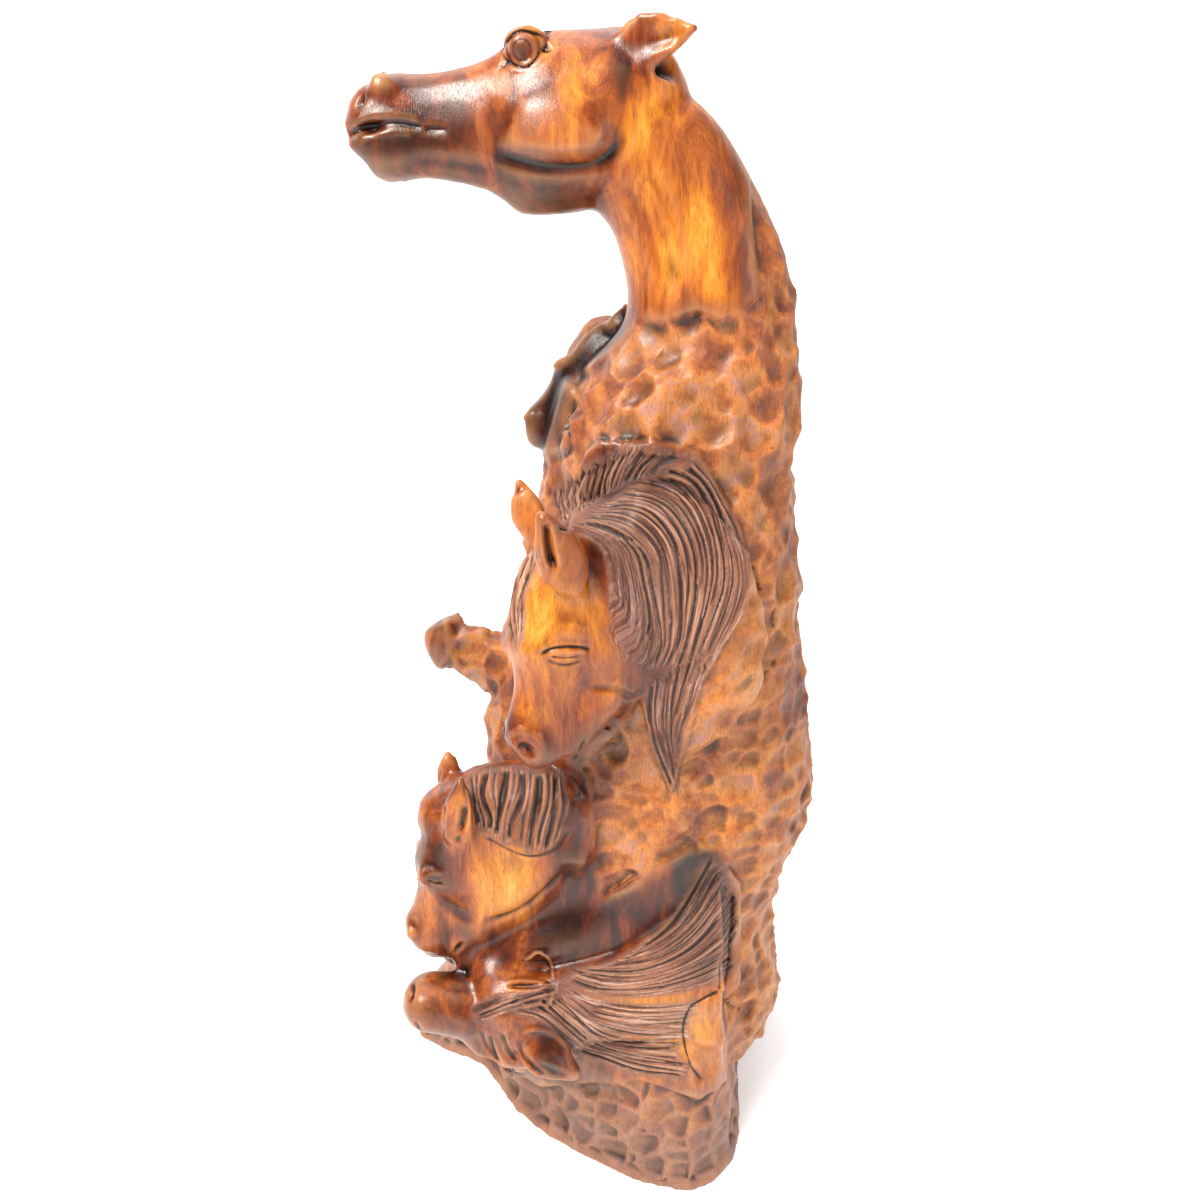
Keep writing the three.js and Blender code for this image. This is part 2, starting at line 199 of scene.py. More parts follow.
def addSwelling(row):
    # balls strung close together from each place of the row to the next
    shape = bmesh.new()
    for (u, v, y, r), (u2, v2, y2, r2) in zip(row[:-1], row[1:]):
        here, there = pixelPoint(u, v, y), pixelPoint(u2, v2, y2)
        steps = max(2, int((there - here).length / (4 * mm)))
        for k in range(steps + 1):
            t = k / steps
            place = Matrix.Translation(here.lerp(there, t))
            bmesh.ops.create_icosphere(shape, subdivisions=2, radius=(r + (r2 - r) * t) * mm, matrix=place)
    return shape


def addLeaf(root, tip, width, thick, cup, faces):
    # a ball drawn out to a point, flattened and cupped
    shape = bmesh.new()
    root, tip = pixelPoint(*root), pixelPoint(*tip)
    along = tip - root
    out = Vector(faces)
    out = (out - along.normalized() * out.dot(along.normalized())).normalized()
    side = along.normalized().cross(out)
    made = bmesh.ops.create_uvsphere(shape, u_segments=24, v_segments=20, radius=1)["verts"]
    for vert in made:
        t = (vert.co.z + 1) / 2
        swell = 0.6 + 0.5 * math.sin(math.pi * min(1, t * 1.1)) - 0.12 * t
        x, y = vert.co.x * swell, math.copysign(abs(vert.co.y) ** 0.65, vert.co.y) * thick / 2
        y += cup * (vert.co.x**2 - 0.7) * math.sin(math.pi * t)
        vert.co = root + along * t + side * (x * width / 2 * mm) + out * (y * mm)
    return shape


def startBlock():
    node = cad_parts["horse_carving"]
    mesh = node.data.copy()
    mesh.materials.clear()
    welded = bmesh.new()
    welded.from_mesh(mesh)
    bmesh.ops.remove_doubles(welded, verts=welded.verts, dist=0.01 * mm)
    for vert in welded.verts:
        x, y, z = vert.co / mm
        if foldedEars["from"] < x < foldedEars["to"] and abs(y) > foldedEars["beside"] and z > foldedEars["above"]:
            into = Vector(foldedEars["into"]) * mm
            into.y *= math.copysign(1, y)
            vert.co = into.lerp(vert.co, foldedEars["left"])
    added = bpy.data.meshes.new("added")
    for shape in [addSwelling(row) for row in swellings.values()] + [addLeaf(*leaf) for leaf in leaves.values()]:
        shape.to_mesh(added)
        shape.free()
        welded.from_mesh(added)
    welded.to_mesh(mesh)
    welded.free()
    piece = bpy.data.objects.new("carved_horses", mesh)
    bpy.context.scene.collection.objects.link(piece)
    remesh = piece.modifiers.new("skin", "REMESH")
    remesh.mode = "VOXEL"
    remesh.voxel_size = block["skin"]
    evaluated(piece)
    edges = edgesOf(piece.data)
    points = rub(pointsOf(piece.data), edges, block["rubbing"])
    for outline, rounds in melted:
        chosen = inside(toPixels(points), outline) & (points[:, 1] < 30 * mm)
        weight = chosen.astype(float)
        for _ in range(4):
            weight = neighbourMean(weight, edges)
        for _ in range(rounds):
            points = points + 0.6 * weight[:, None] * (neighbourMean(points, edges) - points)
    points[:, 2] = np.where(points[:, 2] < block["flatBelow"], 0, points[:, 2])
    piece.data.vertices.foreach_set("co", points.ravel())
    halved = piece.modifiers.new("halved", "SUBSURF")
    halved.levels = halved.render_levels = 1
    evaluated(piece)
    return piece


# Where the finest work is, as outlines in the photograph: there the faces are halved once more.
fineWork = [
    [(495, 20), (560, 20), (560, 75), (495, 75)],
    [(340, 80), (460, 105), (460, 150), (340, 160)],
    [(635, 10), (700, 10), (700, 65), (635, 65)],
    [
        (505, 545), (545, 500), (560, 480), (600, 440), (700, 445), (756, 540), (756, 620), (690, 800), (640, 790),
        (625, 700), (500, 780), (500, 600),
    ],
    [(425, 765), (600, 760), (600, 862), (425, 850)],
    [(420, 865), (450, 865), (450, 895), (420, 895)],
    [(470, 960), (560, 960), (650, 940), (690, 845), (745, 860), (745, 1100), (560, 1070), (470, 1060)],
]


def refine(piece):
    mesh = piece.data
    pixels = toPixels(pointsOf(mesh))
    chosen = np.zeros(len(pixels), bool)
    for outline in fineWork:
        chosen |= inside(pixels, outline)
    outward = np.empty(len(mesh.vertices) * 3)
    mesh.vertices.foreach_get("normal", outward)
    chosen &= (outward.reshape(-1, 3) @ np.array(viewAxes()[0])) < 0.2
    shape = bmesh.new()
    shape.from_mesh(mesh)
    picked = [edge for edge in shape.edges if chosen[edge.verts[0].index] and chosen[edge.verts[1].index]]
    bmesh.ops.subdivide_edges(shape, edges=picked, cuts=1, use_grid_fill=True, smooth=0.9)
    shape.to_mesh(mesh)
    shape.free()


# The wood under the chisel: its points, outward directions and a tree for sight lines.
class Wood:
    def __init__(self, piece):
        self.piece = piece
        self.points = pointsOf(piece.data)
        self.edges = edgesOf(piece.data)
        self.settle()

    def settle(self):
        mesh = self.piece.data
        mesh.vertices.foreach_set("co", self.points.ravel())
        mesh.update()
        outward = np.empty(len(mesh.vertices) * 3)
        mesh.vertices.foreach_get("normal", outward)
        self.outward = outward.reshape(-1, 3)
        self.tree = BVHTree.FromObject(self.piece, bpy.context.evaluated_depsgraph_get())
        self.pixels = toPixels(self.points)

    def seen(self, u, v):
        # the point of the wood at this pixel of the photograph
        return self.tree.ray_cast(Vector(photoView["eye"]), sightLine(u, v))[0]

    def line(self, pixels):
        # pixels of the photograph laid on the wood, a pixel apart, in runs without a jump
        runs, run = [], []
        for u, v in spread(pixels, 1.0):
            spot = self.seen(u, v)
            if spot is None or (run and (spot - run[-1]).length > 9 * mm):
                if len(run) > 1:
                    runs.append(np.array(run))
                run = []
            if spot is not None:
                run.append(spot)
        if len(run) > 1:
            runs.append(np.array(run))
        return runs

    def push(self, amount, where=None):
        if where is None:
            self.points += self.outward * amount[:, None]
        else:
            self.points[where] += self.outward[where] * amount[:, None]


def spread(corners, step):
    # a smooth line through the corners, cut to even steps
    corners = np.array(corners, float)
    if len(corners) > 2:
        fine = []
        ends = np.vstack([2 * corners[0] - corners[1], corners, 2 * corners[-1] - corners[-2]])
        for k in range(1, len(ends) - 2):
            t = np.linspace(0, 1, 12, endpoint=False)[:, None]
            a, b, c, d = ends[k - 1 : k + 3]
            bend, twist = 2 * a - 5 * b + 4 * c - d, 3 * b - a - 3 * c + d
            fine.append(0.5 * (2 * b + (c - a) * t + bend * t**2 + twist * t**3))
        corners = np.vstack([*fine, ends[-2:-1]])
    run = np.concatenate([[0], np.cumsum(np.linalg.norm(np.diff(corners, axis=0), axis=1))])
    at = np.linspace(0, run[-1], max(2, int(run[-1] / step) + 1))
    return np.stack([np.interp(at, run, corners[:, k]) for k in range(corners.shape[1])], 1)


def inside(pixels, outline):
    # which pixels lie inside a closed outline
    outline = np.array(outline, float)
    x, y = pixels[:, 0], pixels[:, 1]
    hit = np.zeros(len(pixels), bool)
    for (ax, ay), (bx, by) in zip(outline, np.roll(outline, -1, 0)):
        crosses = (ay > y) != (by > y)
        if ay != by:
            hit ^= crosses & (x < ax + (y - ay) / (by - ay) * (bx - ax))
    return hit


def near(wood, runs, reach, sides=False):
    # points within reach of the lines: their index, distance, share along the line and line number,
    # and how far they lie to the right of the line
    samples = np.vstack(runs)
    number = np.concatenate([np.full(len(run), k) for k, run in enumerate(runs)])
    share = np.concatenate([np.linspace(0, 1, len(run)) for run in runs])
    low, high = samples.min(0) - reach, samples.max(0) + reach
    close = np.all((wood.points > low) & (wood.points < high), axis=1)
    index = np.nonzero(close)[0]
    finder = kdtree.KDTree(len(samples))
    for k, sample in enumerate(samples):
        finder.insert(sample, k)
    finder.balance()
    best = np.fromiter((finder.find(spot)[1] for spot in wood.points[index]), int, len(index))
    spots = wood.points[index]
    distance = np.linalg.norm(spots - samples[best], axis=1)
    for shift in (-1, 1):
        other = np.clip(best + shift, 0, len(samples) - 1)
        other = np.where(number[other] == number[best], other, best)
        along = samples[other] - samples[best]
        length = np.maximum((along**2).sum(1), 1e-12)
        part = np.clip(((spots - samples[best]) * along).sum(1) / length, 0, 1)[:, None]
        distance = np.minimum(distance, np.linalg.norm(spots - samples[best] - along * part, axis=1))
    keep = distance < reach
    index, distance, best = index[keep], distance[keep], best[keep]
    if not sides:
        return index, distance, share[best], number[best]
    ahead, behind = np.minimum(best + 2, len(samples) - 1), np.maximum(best - 2, 0)
    ahead = np.where(number[ahead] == number[best], ahead, best)
    behind = np.where(number[behind] == number[best], behind, best)
    right = unit(np.cross(unit(samples[ahead] - samples[behind]), wood.outward[index]))
    return index, distance, share[best], number[best], ((wood.points[index] - samples[best]) * right).sum(1)


# The smaller heads' mid planes (poll, muzzle, way up of the face, in millimetres), for the cheek that the
# photograph doesn't show.
midPlanes = {
    "top": ((12, 0, 952), (-202, 0, 926), (0, 0.14, 1)),
    "mid": ((-46, -98, 636), (-72, -126, 478), (-0.92, -0.4, 0.1)),
    "third": ((-134, -74, 394), (-180, -94, 256), (-0.92, -0.2, 0.3)),
    "bottom": ((-62, -116, 214), (-196, -120, 212), (-0.05, -0.36, 0.93)),
}


def otherCheek(wood, head, spots):
    # the same spots on the other cheek
    poll, muzzle, faceUp = (Vector(part) for part in midPlanes[head])
    side = (muzzle - poll).cross(faceUp).normalized()
    moved = [Vector(spot) - side * 2 * (Vector(spot) - poll * mm).dot(side) for spot in spots]
    return np.array([wood.tree.find_nearest(spot)[0] for spot in moved])


lineCuts = {
    "pixel": 0.75,  # about what a pixel spans, in millimetres
    "fade": 2.2,  # widths over which the ends fade out, at most the next share of the length
    "mostFade": 0.45,
    "fall": 4,  # widths over which a raised side falls off
    "blending": 10,  # rounds that soften a raised side
}


def carveLine(wood, pixels, width, depth, head=None, other=0.0, soft=2.0):
    # a cut (depth above 0) or a ridge (below 0), width in millimetres to where it fades;
    # other raises the side to the right of the line's way by that much
    runs = [run for run in wood.line(pixels) if len(run) > 3]
    if not runs:
        return
    flips = [1] * len(runs)
    if head:
        runs += [otherCheek(wood, head, run) for run in runs]
        flips += [-1] * len(flips)
    reach = width * mm * (lineCuts["fall"] if other else 1)
    index, distance, share, number, side = near(wood, runs, reach, sides=True)
    side *= np.array(flips)[number]
    length = np.array([len(run) for run in runs])[number] * lineCuts["pixel"] * mm
    fade = np.minimum(lineCuts["fade"] * width * mm / length, lineCuts["mostFade"])
    ends = smoothStep(share / fade, 0, 1) * smoothStep((1 - share) / fade, 0, 1)
    amount = -depth * np.clip(1 - (distance / (width * mm)) ** 2, 0, 1) ** soft * ends
    if other:
        rise = np.zeros(len(wood.points))
        fade = np.clip(1 - distance / reach, 0, 1) ** 1.5
        rise[index] = other * smoothStep(side / (width * mm), -0.35, 0.5) * fade * ends
        edge = np.clip(1 - distance / (width * mm), 0, 1)
        blended = rise
        for _ in range(lineCuts["blending"]):
            blended = neighbourMean(blended, wood.edges)
        amount += rise[index] * edge + blended[index] * (1 - edge)
    wood.push(amount * mm, index)


def swell(wood, pixel, radius, height, head=None, stretch=1.0, turn=(1, 0)):
    # a round rise (or hollow), drawn out by stretch along the pixel direction turn
    for centre, along, out in featurePlaces(wood, pixel, turn, head):
        index, a, b = flat(wood, centre, along, out, radius * 1.1 * max(stretch, 1))
        r = np.sqrt((a / (radius * stretch)) ** 2 + (b / radius) ** 2)
        wood.push(height * mm * np.clip(1 - r * r, 0, 1) ** 2, index)


def featurePlaces(wood, pixel, turn, head):
    # the place of a feature, its direction and the way out, here and on the other cheek
    here = wood.seen(*pixel)
    if here is None:
        return []
    there = wood.seen(pixel[0] + 4 * turn[0], pixel[1] + 4 * turn[1]) or here + Vector((1, 0, 0)) * mm
    pairs = [np.array([here, there])]
    if head:
        pairs.append(otherCheek(wood, head, pairs[0]))
    found = []
    for spot, ahead in pairs:
        closest = np.argsort(np.linalg.norm(wood.points - spot, axis=1))[:60]
        out = unit(wood.outward[closest].mean(0))
        along = unit((ahead - spot) - out * ((ahead - spot) @ out))
        found.append((spot, along, out))
    return found


def flat(wood, centre, along, out, radius):
    # points around a spot with their place in millimetres along and across
    delta = wood.points - centre
    chosen = (np.einsum("ij,ij->i", delta, delta) < (radius * mm) ** 2) & (wood.outward @ out > 0.1)
    index = np.nonzero(chosen)[0]
    side = np.cross(out, along)
    return index, delta[index] @ along / mm, delta[index] @ side / mm


piece = startBlock()
refine(piece)
wood = Wood(piece)
print(f"block: {len(wood.points)} points")

# Gouge cuts: overlapping scoops of a wide sweep gouge. Anchors give the way the cuts run across the
# photograph (u, v, direction u and v) with the length and width of one cut in millimetres.
gougeCuts = {
    "depth": 5.0 * mm,
    "anchors": [
        (655, 335, 0.5, 0.9, 34, 22),
        (700, 330, 0.95, 0.2, 42, 24),
        (745, 335, 0.95, 0.3, 44, 22),
        (780, 345, 0.8, 0.6, 34, 20),
        (775, 270, 0.2, 1.0, 60, 20),
        (650, 390, 0.5, 0.85, 34, 26),
        (600, 385, 0.3, 0.9, 34, 28),
        (595, 425, 0.5, 0.8, 40, 28),
        (690, 385, 0.5, 0.9, 44, 32),
        (740, 400, 0.75, 0.65, 52, 24),
        (700, 430, 0.6, 0.8, 58, 32),
        (770, 450, 0.7, 0.7, 56, 24),
        (760, 510, 0.6, 0.8, 62, 24),
        (780, 560, 0.5, 0.85, 44, 26),
        (775, 620, 0.85, -0.5, 52, 19),
        (735, 670, 0.8, -0.6, 52, 19),
        (780, 690, 0.85, -0.5, 42, 20),
        (715, 740, 0.8, -0.6, 44, 18),
        (770, 740, 0.95, -0.25, 44, 22),
        (790, 790, 1.0, 0.0, 40, 24),
        (735, 800, 1.0, -0.05, 44, 22),
        (680, 810, 0.9, -0.3, 38, 22),
        (640, 835, 0.85, -0.45, 44, 22),
        (770, 850, 1.0, -0.1, 40, 22),
        (760, 930, 0.98, -0.2, 36, 22),
        (755, 1000, 0.9, -0.4, 34, 22),
        (640, 740, 0.15, 1.0, 60, 26),
        (600, 780, 0.2, 1.0, 40, 24),
        (540, 1090, 0.8, 0.6, 32, 26),
        (600, 1120, 0.8, 0.6, 32, 28),
        (680, 1150, 0.9, 0.3, 34, 28),
        (640, 1175, 0.8, 0.5, 30, 24),
        (730, 1120, 0.4, -0.9, 34, 22),
    ],
    "waver": 0.22,  # radians either way
    "tiltSpread": 0.25,
    "sizes": (0.75, 1.25),  # seeded shares of the whole size, of each side of it and of the depth
    "sides": (0.9, 1.12),
    "depths": (0.75, 1.3),
    "usualWidth": 22 * mm,  # wider cuts are deeper, narrower ones shallower
    "anchorReach": 42 * mm,  # how far an anchor is felt
    "shown": (110 * mm, 60 * mm),  # from this far to this near an anchor, the anchors lead more and more
    "behind": (38, 25),  # length and width where the photograph doesn't show
    "lean": 0.9,  # radians that the cuts lean there, changing over the next distance
    "leanOver": 300 * mm,
    "bareBelow": 0.35,  # share of protection below which a cut may start
    "tried": 26000,  # places tried, of which those that stand apart are kept
    "apart": 0.72,  # spacing as a share of a cut's length and width
    "reach": 0.66,  # half of a cut before it is tilted, in the same shares
    "tilt": 0.5,  # deeper towards its end
    "steepFrom": 0.4,  # it starts shallow, and past this share ends in a steep round edge
    "steepness": 2.4,
    "hollowAlong": 0.4,
    "hollowAcross": 0.75,
    "neighbours": 9,  # cuts that may reach a point
    "lift": 14 * mm,  # a cut doesn't reach through a thin part to its other side
    "sameWay": 0.35,
    "shallowBelow": (1 * mm, 14 * mm),  # cuts fade out towards the flat underside
}

# Smooth parts that the gouge doesn't touch, as outlines in the photograph.
smoothParts = {
    "neck": [
        (330, 0), (700, 0), (760, 60), (752, 190), (757, 250), (760, 300), (722, 322), (700, 312), (662, 322),
        (612, 318), (590, 240), (330, 240),
    ],
    "collar": [(578, 300), (625, 300), (640, 318), (608, 352), (572, 380), (560, 452), (520, 455), (520, 380)],
    "midHead": [
        (503, 478), (540, 470), (600, 440), (655, 440), (700, 452), (729, 504), (743, 530), (751, 556), (752, 585),
        (742, 619), (722, 650), (700, 690), (684, 755), (672, 800), (650, 745), (640, 700), (612, 742), (574, 772),
        (500, 772),
    ],
    "thirdHead": [
        (400, 750), (500, 745), (560, 755), (588, 772), (597, 830), (596, 868), (604, 884), (600, 905), (540, 930),
        (480, 965), (400, 965),
    ],
    "bottomHead": [
        (400, 950), (470, 945), (560, 912), (600, 900), (640, 876), (690, 850), (715, 848), (742, 885), (742, 985),
        (728, 1000), (728, 1080), (700, 1104), (640, 1080), (580, 1085), (540, 1090), (500, 1062), (430, 1045),
        (400, 1020),
    ],
}
# How far back each of them reaches, as y in millimetres.
smoothDepth = {"neck": 45, "collar": 45, "midHead": -48, "thirdHead": -32, "bottomHead": -36}
smoothEdge = {
    "facing": 0.15,  # what turns further away than this belongs to the hidden sides
    "ears": 0.75,  # widths around the middle line of an ear
    "softening": 6,  # rounds that soften the border
}
smoothBehind = [  # centre and radius in millimetres, for the sides that the photograph doesn't show
    ((-90, 0, 940), 150),
    ((20, 0, 930), 70),
    ((45, 0, 880), 60),
    ((-20, 0, 890), 60),
    ((-198, 98, 482), 40),
    ((-70, 60, 720), 44),
    ((-50, -100, 570), 60),
    ((-150, -80, 320), 62),
    ((-130, -110, 220), 75),
    ((-40, -120, 210), 45),
    ((30, -110, 215), 50),
    ((0, -98, 640), 40),
    ((50, -100, 560), 50),
]


def protect(wood):
    # 1 on the smooth parts, 0 under the gouge, with a soft border
    toward = wood.outward @ np.array(viewAxes()[0]) < smoothEdge["facing"]
    shielded = np.zeros(len(wood.points))
    for name, outline in smoothParts.items():
        shielded[inside(wood.pixels, outline) & toward & (wood.points[:, 1] < smoothDepth[name] * mm)] = 1
    for leaf in leaves.values():
        root, tip, width = leaf[:3]
        start, along = np.array(pixelPoint(*root)), np.array(pixelPoint(*tip) - pixelPoint(*root))
        share = np.clip((wood.points - start) @ along / (along @ along), 0, 1)[:, None]
        away = np.linalg.norm(wood.points - start - share * along, axis=1)
        shielded[away < smoothEdge["ears"] * width * mm] = 1
    for centre, radius in smoothBehind:
        away = np.linalg.norm(wood.points - np.array(centre) * mm, axis=1)
        shielded[(away < radius * mm) & ((wood.points[:, 1] > 0) | ~toward)] = 1
    for _ in range(smoothEdge["softening"]):
        shielded = neighbourMean(shielded, wood.edges)
    return shielded


def gougeTrunk(wood, shielded):
    dice = np.random.default_rng(7)
    anchors = []
    for u, v, du, dv, length, width in gougeCuts["anchors"]:
        here, there = wood.seen(u, v), wood.seen(u + du * 5, v + dv * 5)
        if here is not None and there is not None:
            anchors.append((*here, *(there - here).normalized(), length, width))
    anchors = np.array(anchors)
    # candidate centres, thinned so that none stands too close to another
    rough = np.nonzero(shielded < gougeCuts["bareBelow"])[0]
    picks = dice.choice(rough, gougeCuts["tried"], replace=False)
    spots = wood.points[picks]
    gap = np.linalg.norm(spots[:, None] - anchors[None, :, :3], axis=2)
    weight = np.exp(-((gap / gougeCuts["anchorReach"]) ** 2)) + 1e-9
    weight /= weight.sum(1, keepdims=True)
    shown = smoothStep(gap.min(1), *gougeCuts["shown"])
    up = np.array([0, 0, 1.0])
    around = unit(np.cross(wood.outward[picks], up) + 1e-6)
    lean = gougeCuts["lean"] * ripple(spots, gougeCuts["leanOver"], 3)
    wild = around * np.cos(lean)[:, None] + up * np.sin(lean)[:, None]
    course = (weight @ anchors[:, 3:6]) * shown[:, None] + wild * (1 - shown)[:, None]
    out = wood.outward[picks]
    course = unit(course - out * (course * out).sum(1)[:, None])
    turn = dice.normal(0, gougeCuts["waver"], len(picks))[:, None]
    course = course * np.cos(turn) + np.cross(out, course) * np.sin(turn)
    behind = np.array(gougeCuts["behind"])
    size = ((weight @ anchors[:, 6:8]) * shown[:, None] + behind * (1 - shown)[:, None]) * mm
    size *= dice.uniform(*gougeCuts["sizes"], (len(picks), 1)) * dice.uniform(*gougeCuts["sides"], (len(picks), 2))
    side = np.cross(out, course)
    kept = []
    for k in range(len(picks)):
        if kept:
            delta = spots[kept] - spots[k]
            along, across = delta @ course[k], delta @ side[k]
            lift = delta @ out[k]
            half = gougeCuts["apart"] * size[k]
            if np.any((along / half[0]) ** 2 + (across / half[1]) ** 2 + (lift / half[1]) ** 2 < 1):
                continue
        kept.append(k)
    spots, out, course, side, size = (a[kept] for a in (spots, out, course, side, size))
    depth = gougeCuts["depth"] * dice.uniform(*gougeCuts["depths"], len(kept))
    depth *= np.clip(size[:, 1] / gougeCuts["usualWidth"], 0.75, 1.25)
    finder = kdtree.KDTree(len(kept))
    for k, spot in enumerate(spots):
        finder.insert(spot, k)
    finder.balance()
    todo = np.nonzero(shielded < 0.98)[0]
    count = gougeCuts["neighbours"]
    close = np.array([[hit[1] for hit in finder.find_n(spot, count)] for spot in wood.points[todo]])
    delta = wood.points[todo][:, None] - spots[close]
    along = (delta * course[close]).sum(2) / (gougeCuts["reach"] * size[close, 0])
    across = (delta * side[close]).sum(2) / (gougeCuts["reach"] * size[close, 1])
    lift = (delta * out[close]).sum(2)
    past = along - gougeCuts["steepFrom"]
    steep = np.where(past > 0, 1 + gougeCuts["steepness"] * past, 1)
    tilt = dice.normal(0, gougeCuts["tiltSpread"], (len(kept), 2)) - (gougeCuts["tilt"], 0)
    bowl = gougeCuts["hollowAlong"] * (along * steep) ** 2 + gougeCuts["hollowAcross"] * across**2 - 1
    bowl = bowl + tilt[close, 0] * along + tilt[close, 1] * across
    sameWay = (wood.outward[todo][:, None] * out[close]).sum(2) > gougeCuts["sameWay"]
    bowl = np.where((np.abs(lift) < gougeCuts["lift"]) & sameWay, bowl, 9)
    cut = depth[close] * bowl
    last = cut.argmin(1)
    cut = np.minimum(cut.min(1), 0) * smoothStep(wood.points[todo, 2], *gougeCuts["shallowBelow"])
    wood.push(cut * (1 - shielded[todo]), todo)
    # each cut has a tone of its own, as its facet catches the light in its own way
    facet = np.zeros(len(wood.points))
    facet[todo] = dice.uniform(-1, 1, len(kept))[close[np.arange(len(todo)), last]] * (1 - shielded[todo])
    print(f"gouge: {len(kept)} cuts")
    return facet


shielded = protect(wood)
facet = gougeTrunk(wood, shielded)
wood.settle()


# The faces. Lines and places are pixels of the photograph, sizes are millimetres.
topFace = {
    "ridges": [  # line, width, height
        ([(503, 50), (510, 36), (521, 30), (533, 30), (543, 38), (549, 48)], 4.5, 1.9),
        ([(505, 66), (515, 69), (527, 67), (537, 60), (545, 51)], 3.6, 1.1),
        ([(566, 57), (533, 68), (512, 78)], 10, 1.0),
        ([(347, 131), (356, 122), (377, 115), (396, 114), (413, 117), (421, 124)], 4, 0.9),
        ([(358, 146), (366, 138), (386, 133), (417, 134)], 4, 0.8),
    ],
    "cuts": [  # line, width, depth
        ([(346, 137), (360, 129), (380, 124), (400, 123), (424, 128)], 2.8, 1.2),
        ([(422, 128), (436, 129), (450, 129)], 3, 1.2),
        ([(500, 92), (497, 106), (499, 132), (505, 150)], 14, 1.5),
        ([(538, 50), (546, 50), (554, 52)], 3.2, 1.8),
        ([(507, 60), (503, 65), (498, 68)], 3.2, 1.6),
        ([(500, 44), (510, 29), (524, 23), (538, 24), (549, 33)], 4, 0.9),
        ([(613, 179), (637, 203), (653, 236), (665, 271), (679, 302)], 12, 2.4),
        ([(634, 165), (656, 196), (670, 236), (679, 290)], 9, 1.6),
        ([(622, 105), (619, 130), (606, 158), (590, 180)], 12, 2.6),
    ],
    "steps": [  # line, width, depth of the groove, height of the side to its right
        (
            [
                (621, 124), (615, 142), (604, 155), (590, 161), (566, 163), (542, 162), (519, 157), (501, 149),
                (490, 137),
            ],
            12, 3.2, 5.5,
        ),
        ([(498, 169), (472, 166), (436, 161), (405, 160)], 8, 1.0, 1.2),
    ],
    "swells": [  # place, radius, height, stretch, direction
        ((380, 88), 11, 2.6, 1.3, (1, 0.2)),
        ((360, 102), 4.5, -3.2, 1.6, (0.5, -1)),
        ((555, 120), 30, 2.0, 1.2, (1, 0.2)),
        ((585, 75), 18, -1.2, 1.5, (1, 0.4)),
    ],
}
topEye = {
    "at": (522, 49.5),
    "along": (1, -0.3),
    "long": 10.2,  # half sizes of the opening
    "tall": 9.8,
    "ball": 3.8,
    "corners": 0.55,  # how far the lids are drawn out to corners
    "crease": 2.0,
    "socket": 2.0,
    "iris": 0.35,
}
midFace = {
    "ridges": [
        ([(546, 636), (562, 631), (582, 634), (598, 642)], 8, 2.0),
        ([(545, 655), (560, 651), (578, 651), (588, 655)], 3, 1.0),
        ([(505, 742), (520, 730), (540, 740), (545, 758)], 5, 1.4),
    ],
    "cuts": [
        ([(539, 656), (548, 651), (562, 648), (579, 648), (593, 650)], 2.6, 1.5),
        ([(546, 658), (556, 664), (570, 665), (584, 660)], 2.4, 1.3),
        ([(549, 656), (562, 656.5), (580, 656)], 1.6, 0.8),
        ([(586, 692), (597, 688), (616, 690), (632, 697), (647, 686)], 4.5, 1.3),
        ([(571, 762), (579, 751), (586, 738)], 2.2, 1.0),
        ([(545, 521), (547, 535), (550, 553), (556, 573)], 4.4, 6.5),
        ([(522, 560), (512, 590), (510, 625), (516, 655)], 6, 1.2),
    ],
    "steps": [],
    "swells": [
        ((566, 657), 10, 2.4, 1.8, (1, 0)),
        ((505, 590), 9, 3.0, 1.0, (1, 0)),
        ((525, 749), 8, -6.5, 1.8, (1, 0.95)),
        ((575, 670), 12, -1.4, 1.6, (1, 0.1)),
        ((604, 660), 22, 2.0, 1.0, (1, 0)),
        ((548, 700), 22, 1.0, 1.4, (0, 1)),
    ],
}
thirdFace = {
    "ridges": [([(424, 874), (434, 872), (446, 877)], 6, 1.8), ([(465, 786), (469, 805), (469, 830)], 2.4, 1.2)],
    "cuts": [
        ([(427, 880), (435, 883.5), (445, 883)], 2.0, 1.8),
        ([(452, 955), (458, 947), (464, 941)], 3, 2.2),
        ([(430, 892), (446, 903), (460, 914), (482, 920)], 9, 1.8),
        ([(446, 800), (443, 820), (444, 838), (453, 849)], 3.4, 1.6),
        ([(466, 800), (463, 820), (460, 838)], 5, 4.2),
    ],
    "steps": [
        ([(468, 922), (497, 917), (521, 908), (540, 893), (556, 877), (566, 860)], 11, 1.2, -4.0),
        ([(480, 833), (505, 849), (530, 857), (554, 850), (571, 826)], 4.5, 1.0, -2.6),
    ],
    "swells": [
        ((500, 880), 30, 2.6, 1.2, (1, -0.3)),
        ((413, 925), 6, -1.2, 1.4, (0.4, 1)),
        ((458, 840), 5, -2.4, 1.6, (0.3, -1)),
        # lumps of hair between the dark gaps
        ((493, 800), 12, 2.4, 2.4, (0.1, 1)),
        ((512, 806), 10, 2.6, 2.6, (-0.2, 1)),
        ((529, 800), 9, 2.2, 2.8, (0, 1)),
        ((552, 806), 15, 2.4, 1.9, (0.1, 1)),
    ],
}
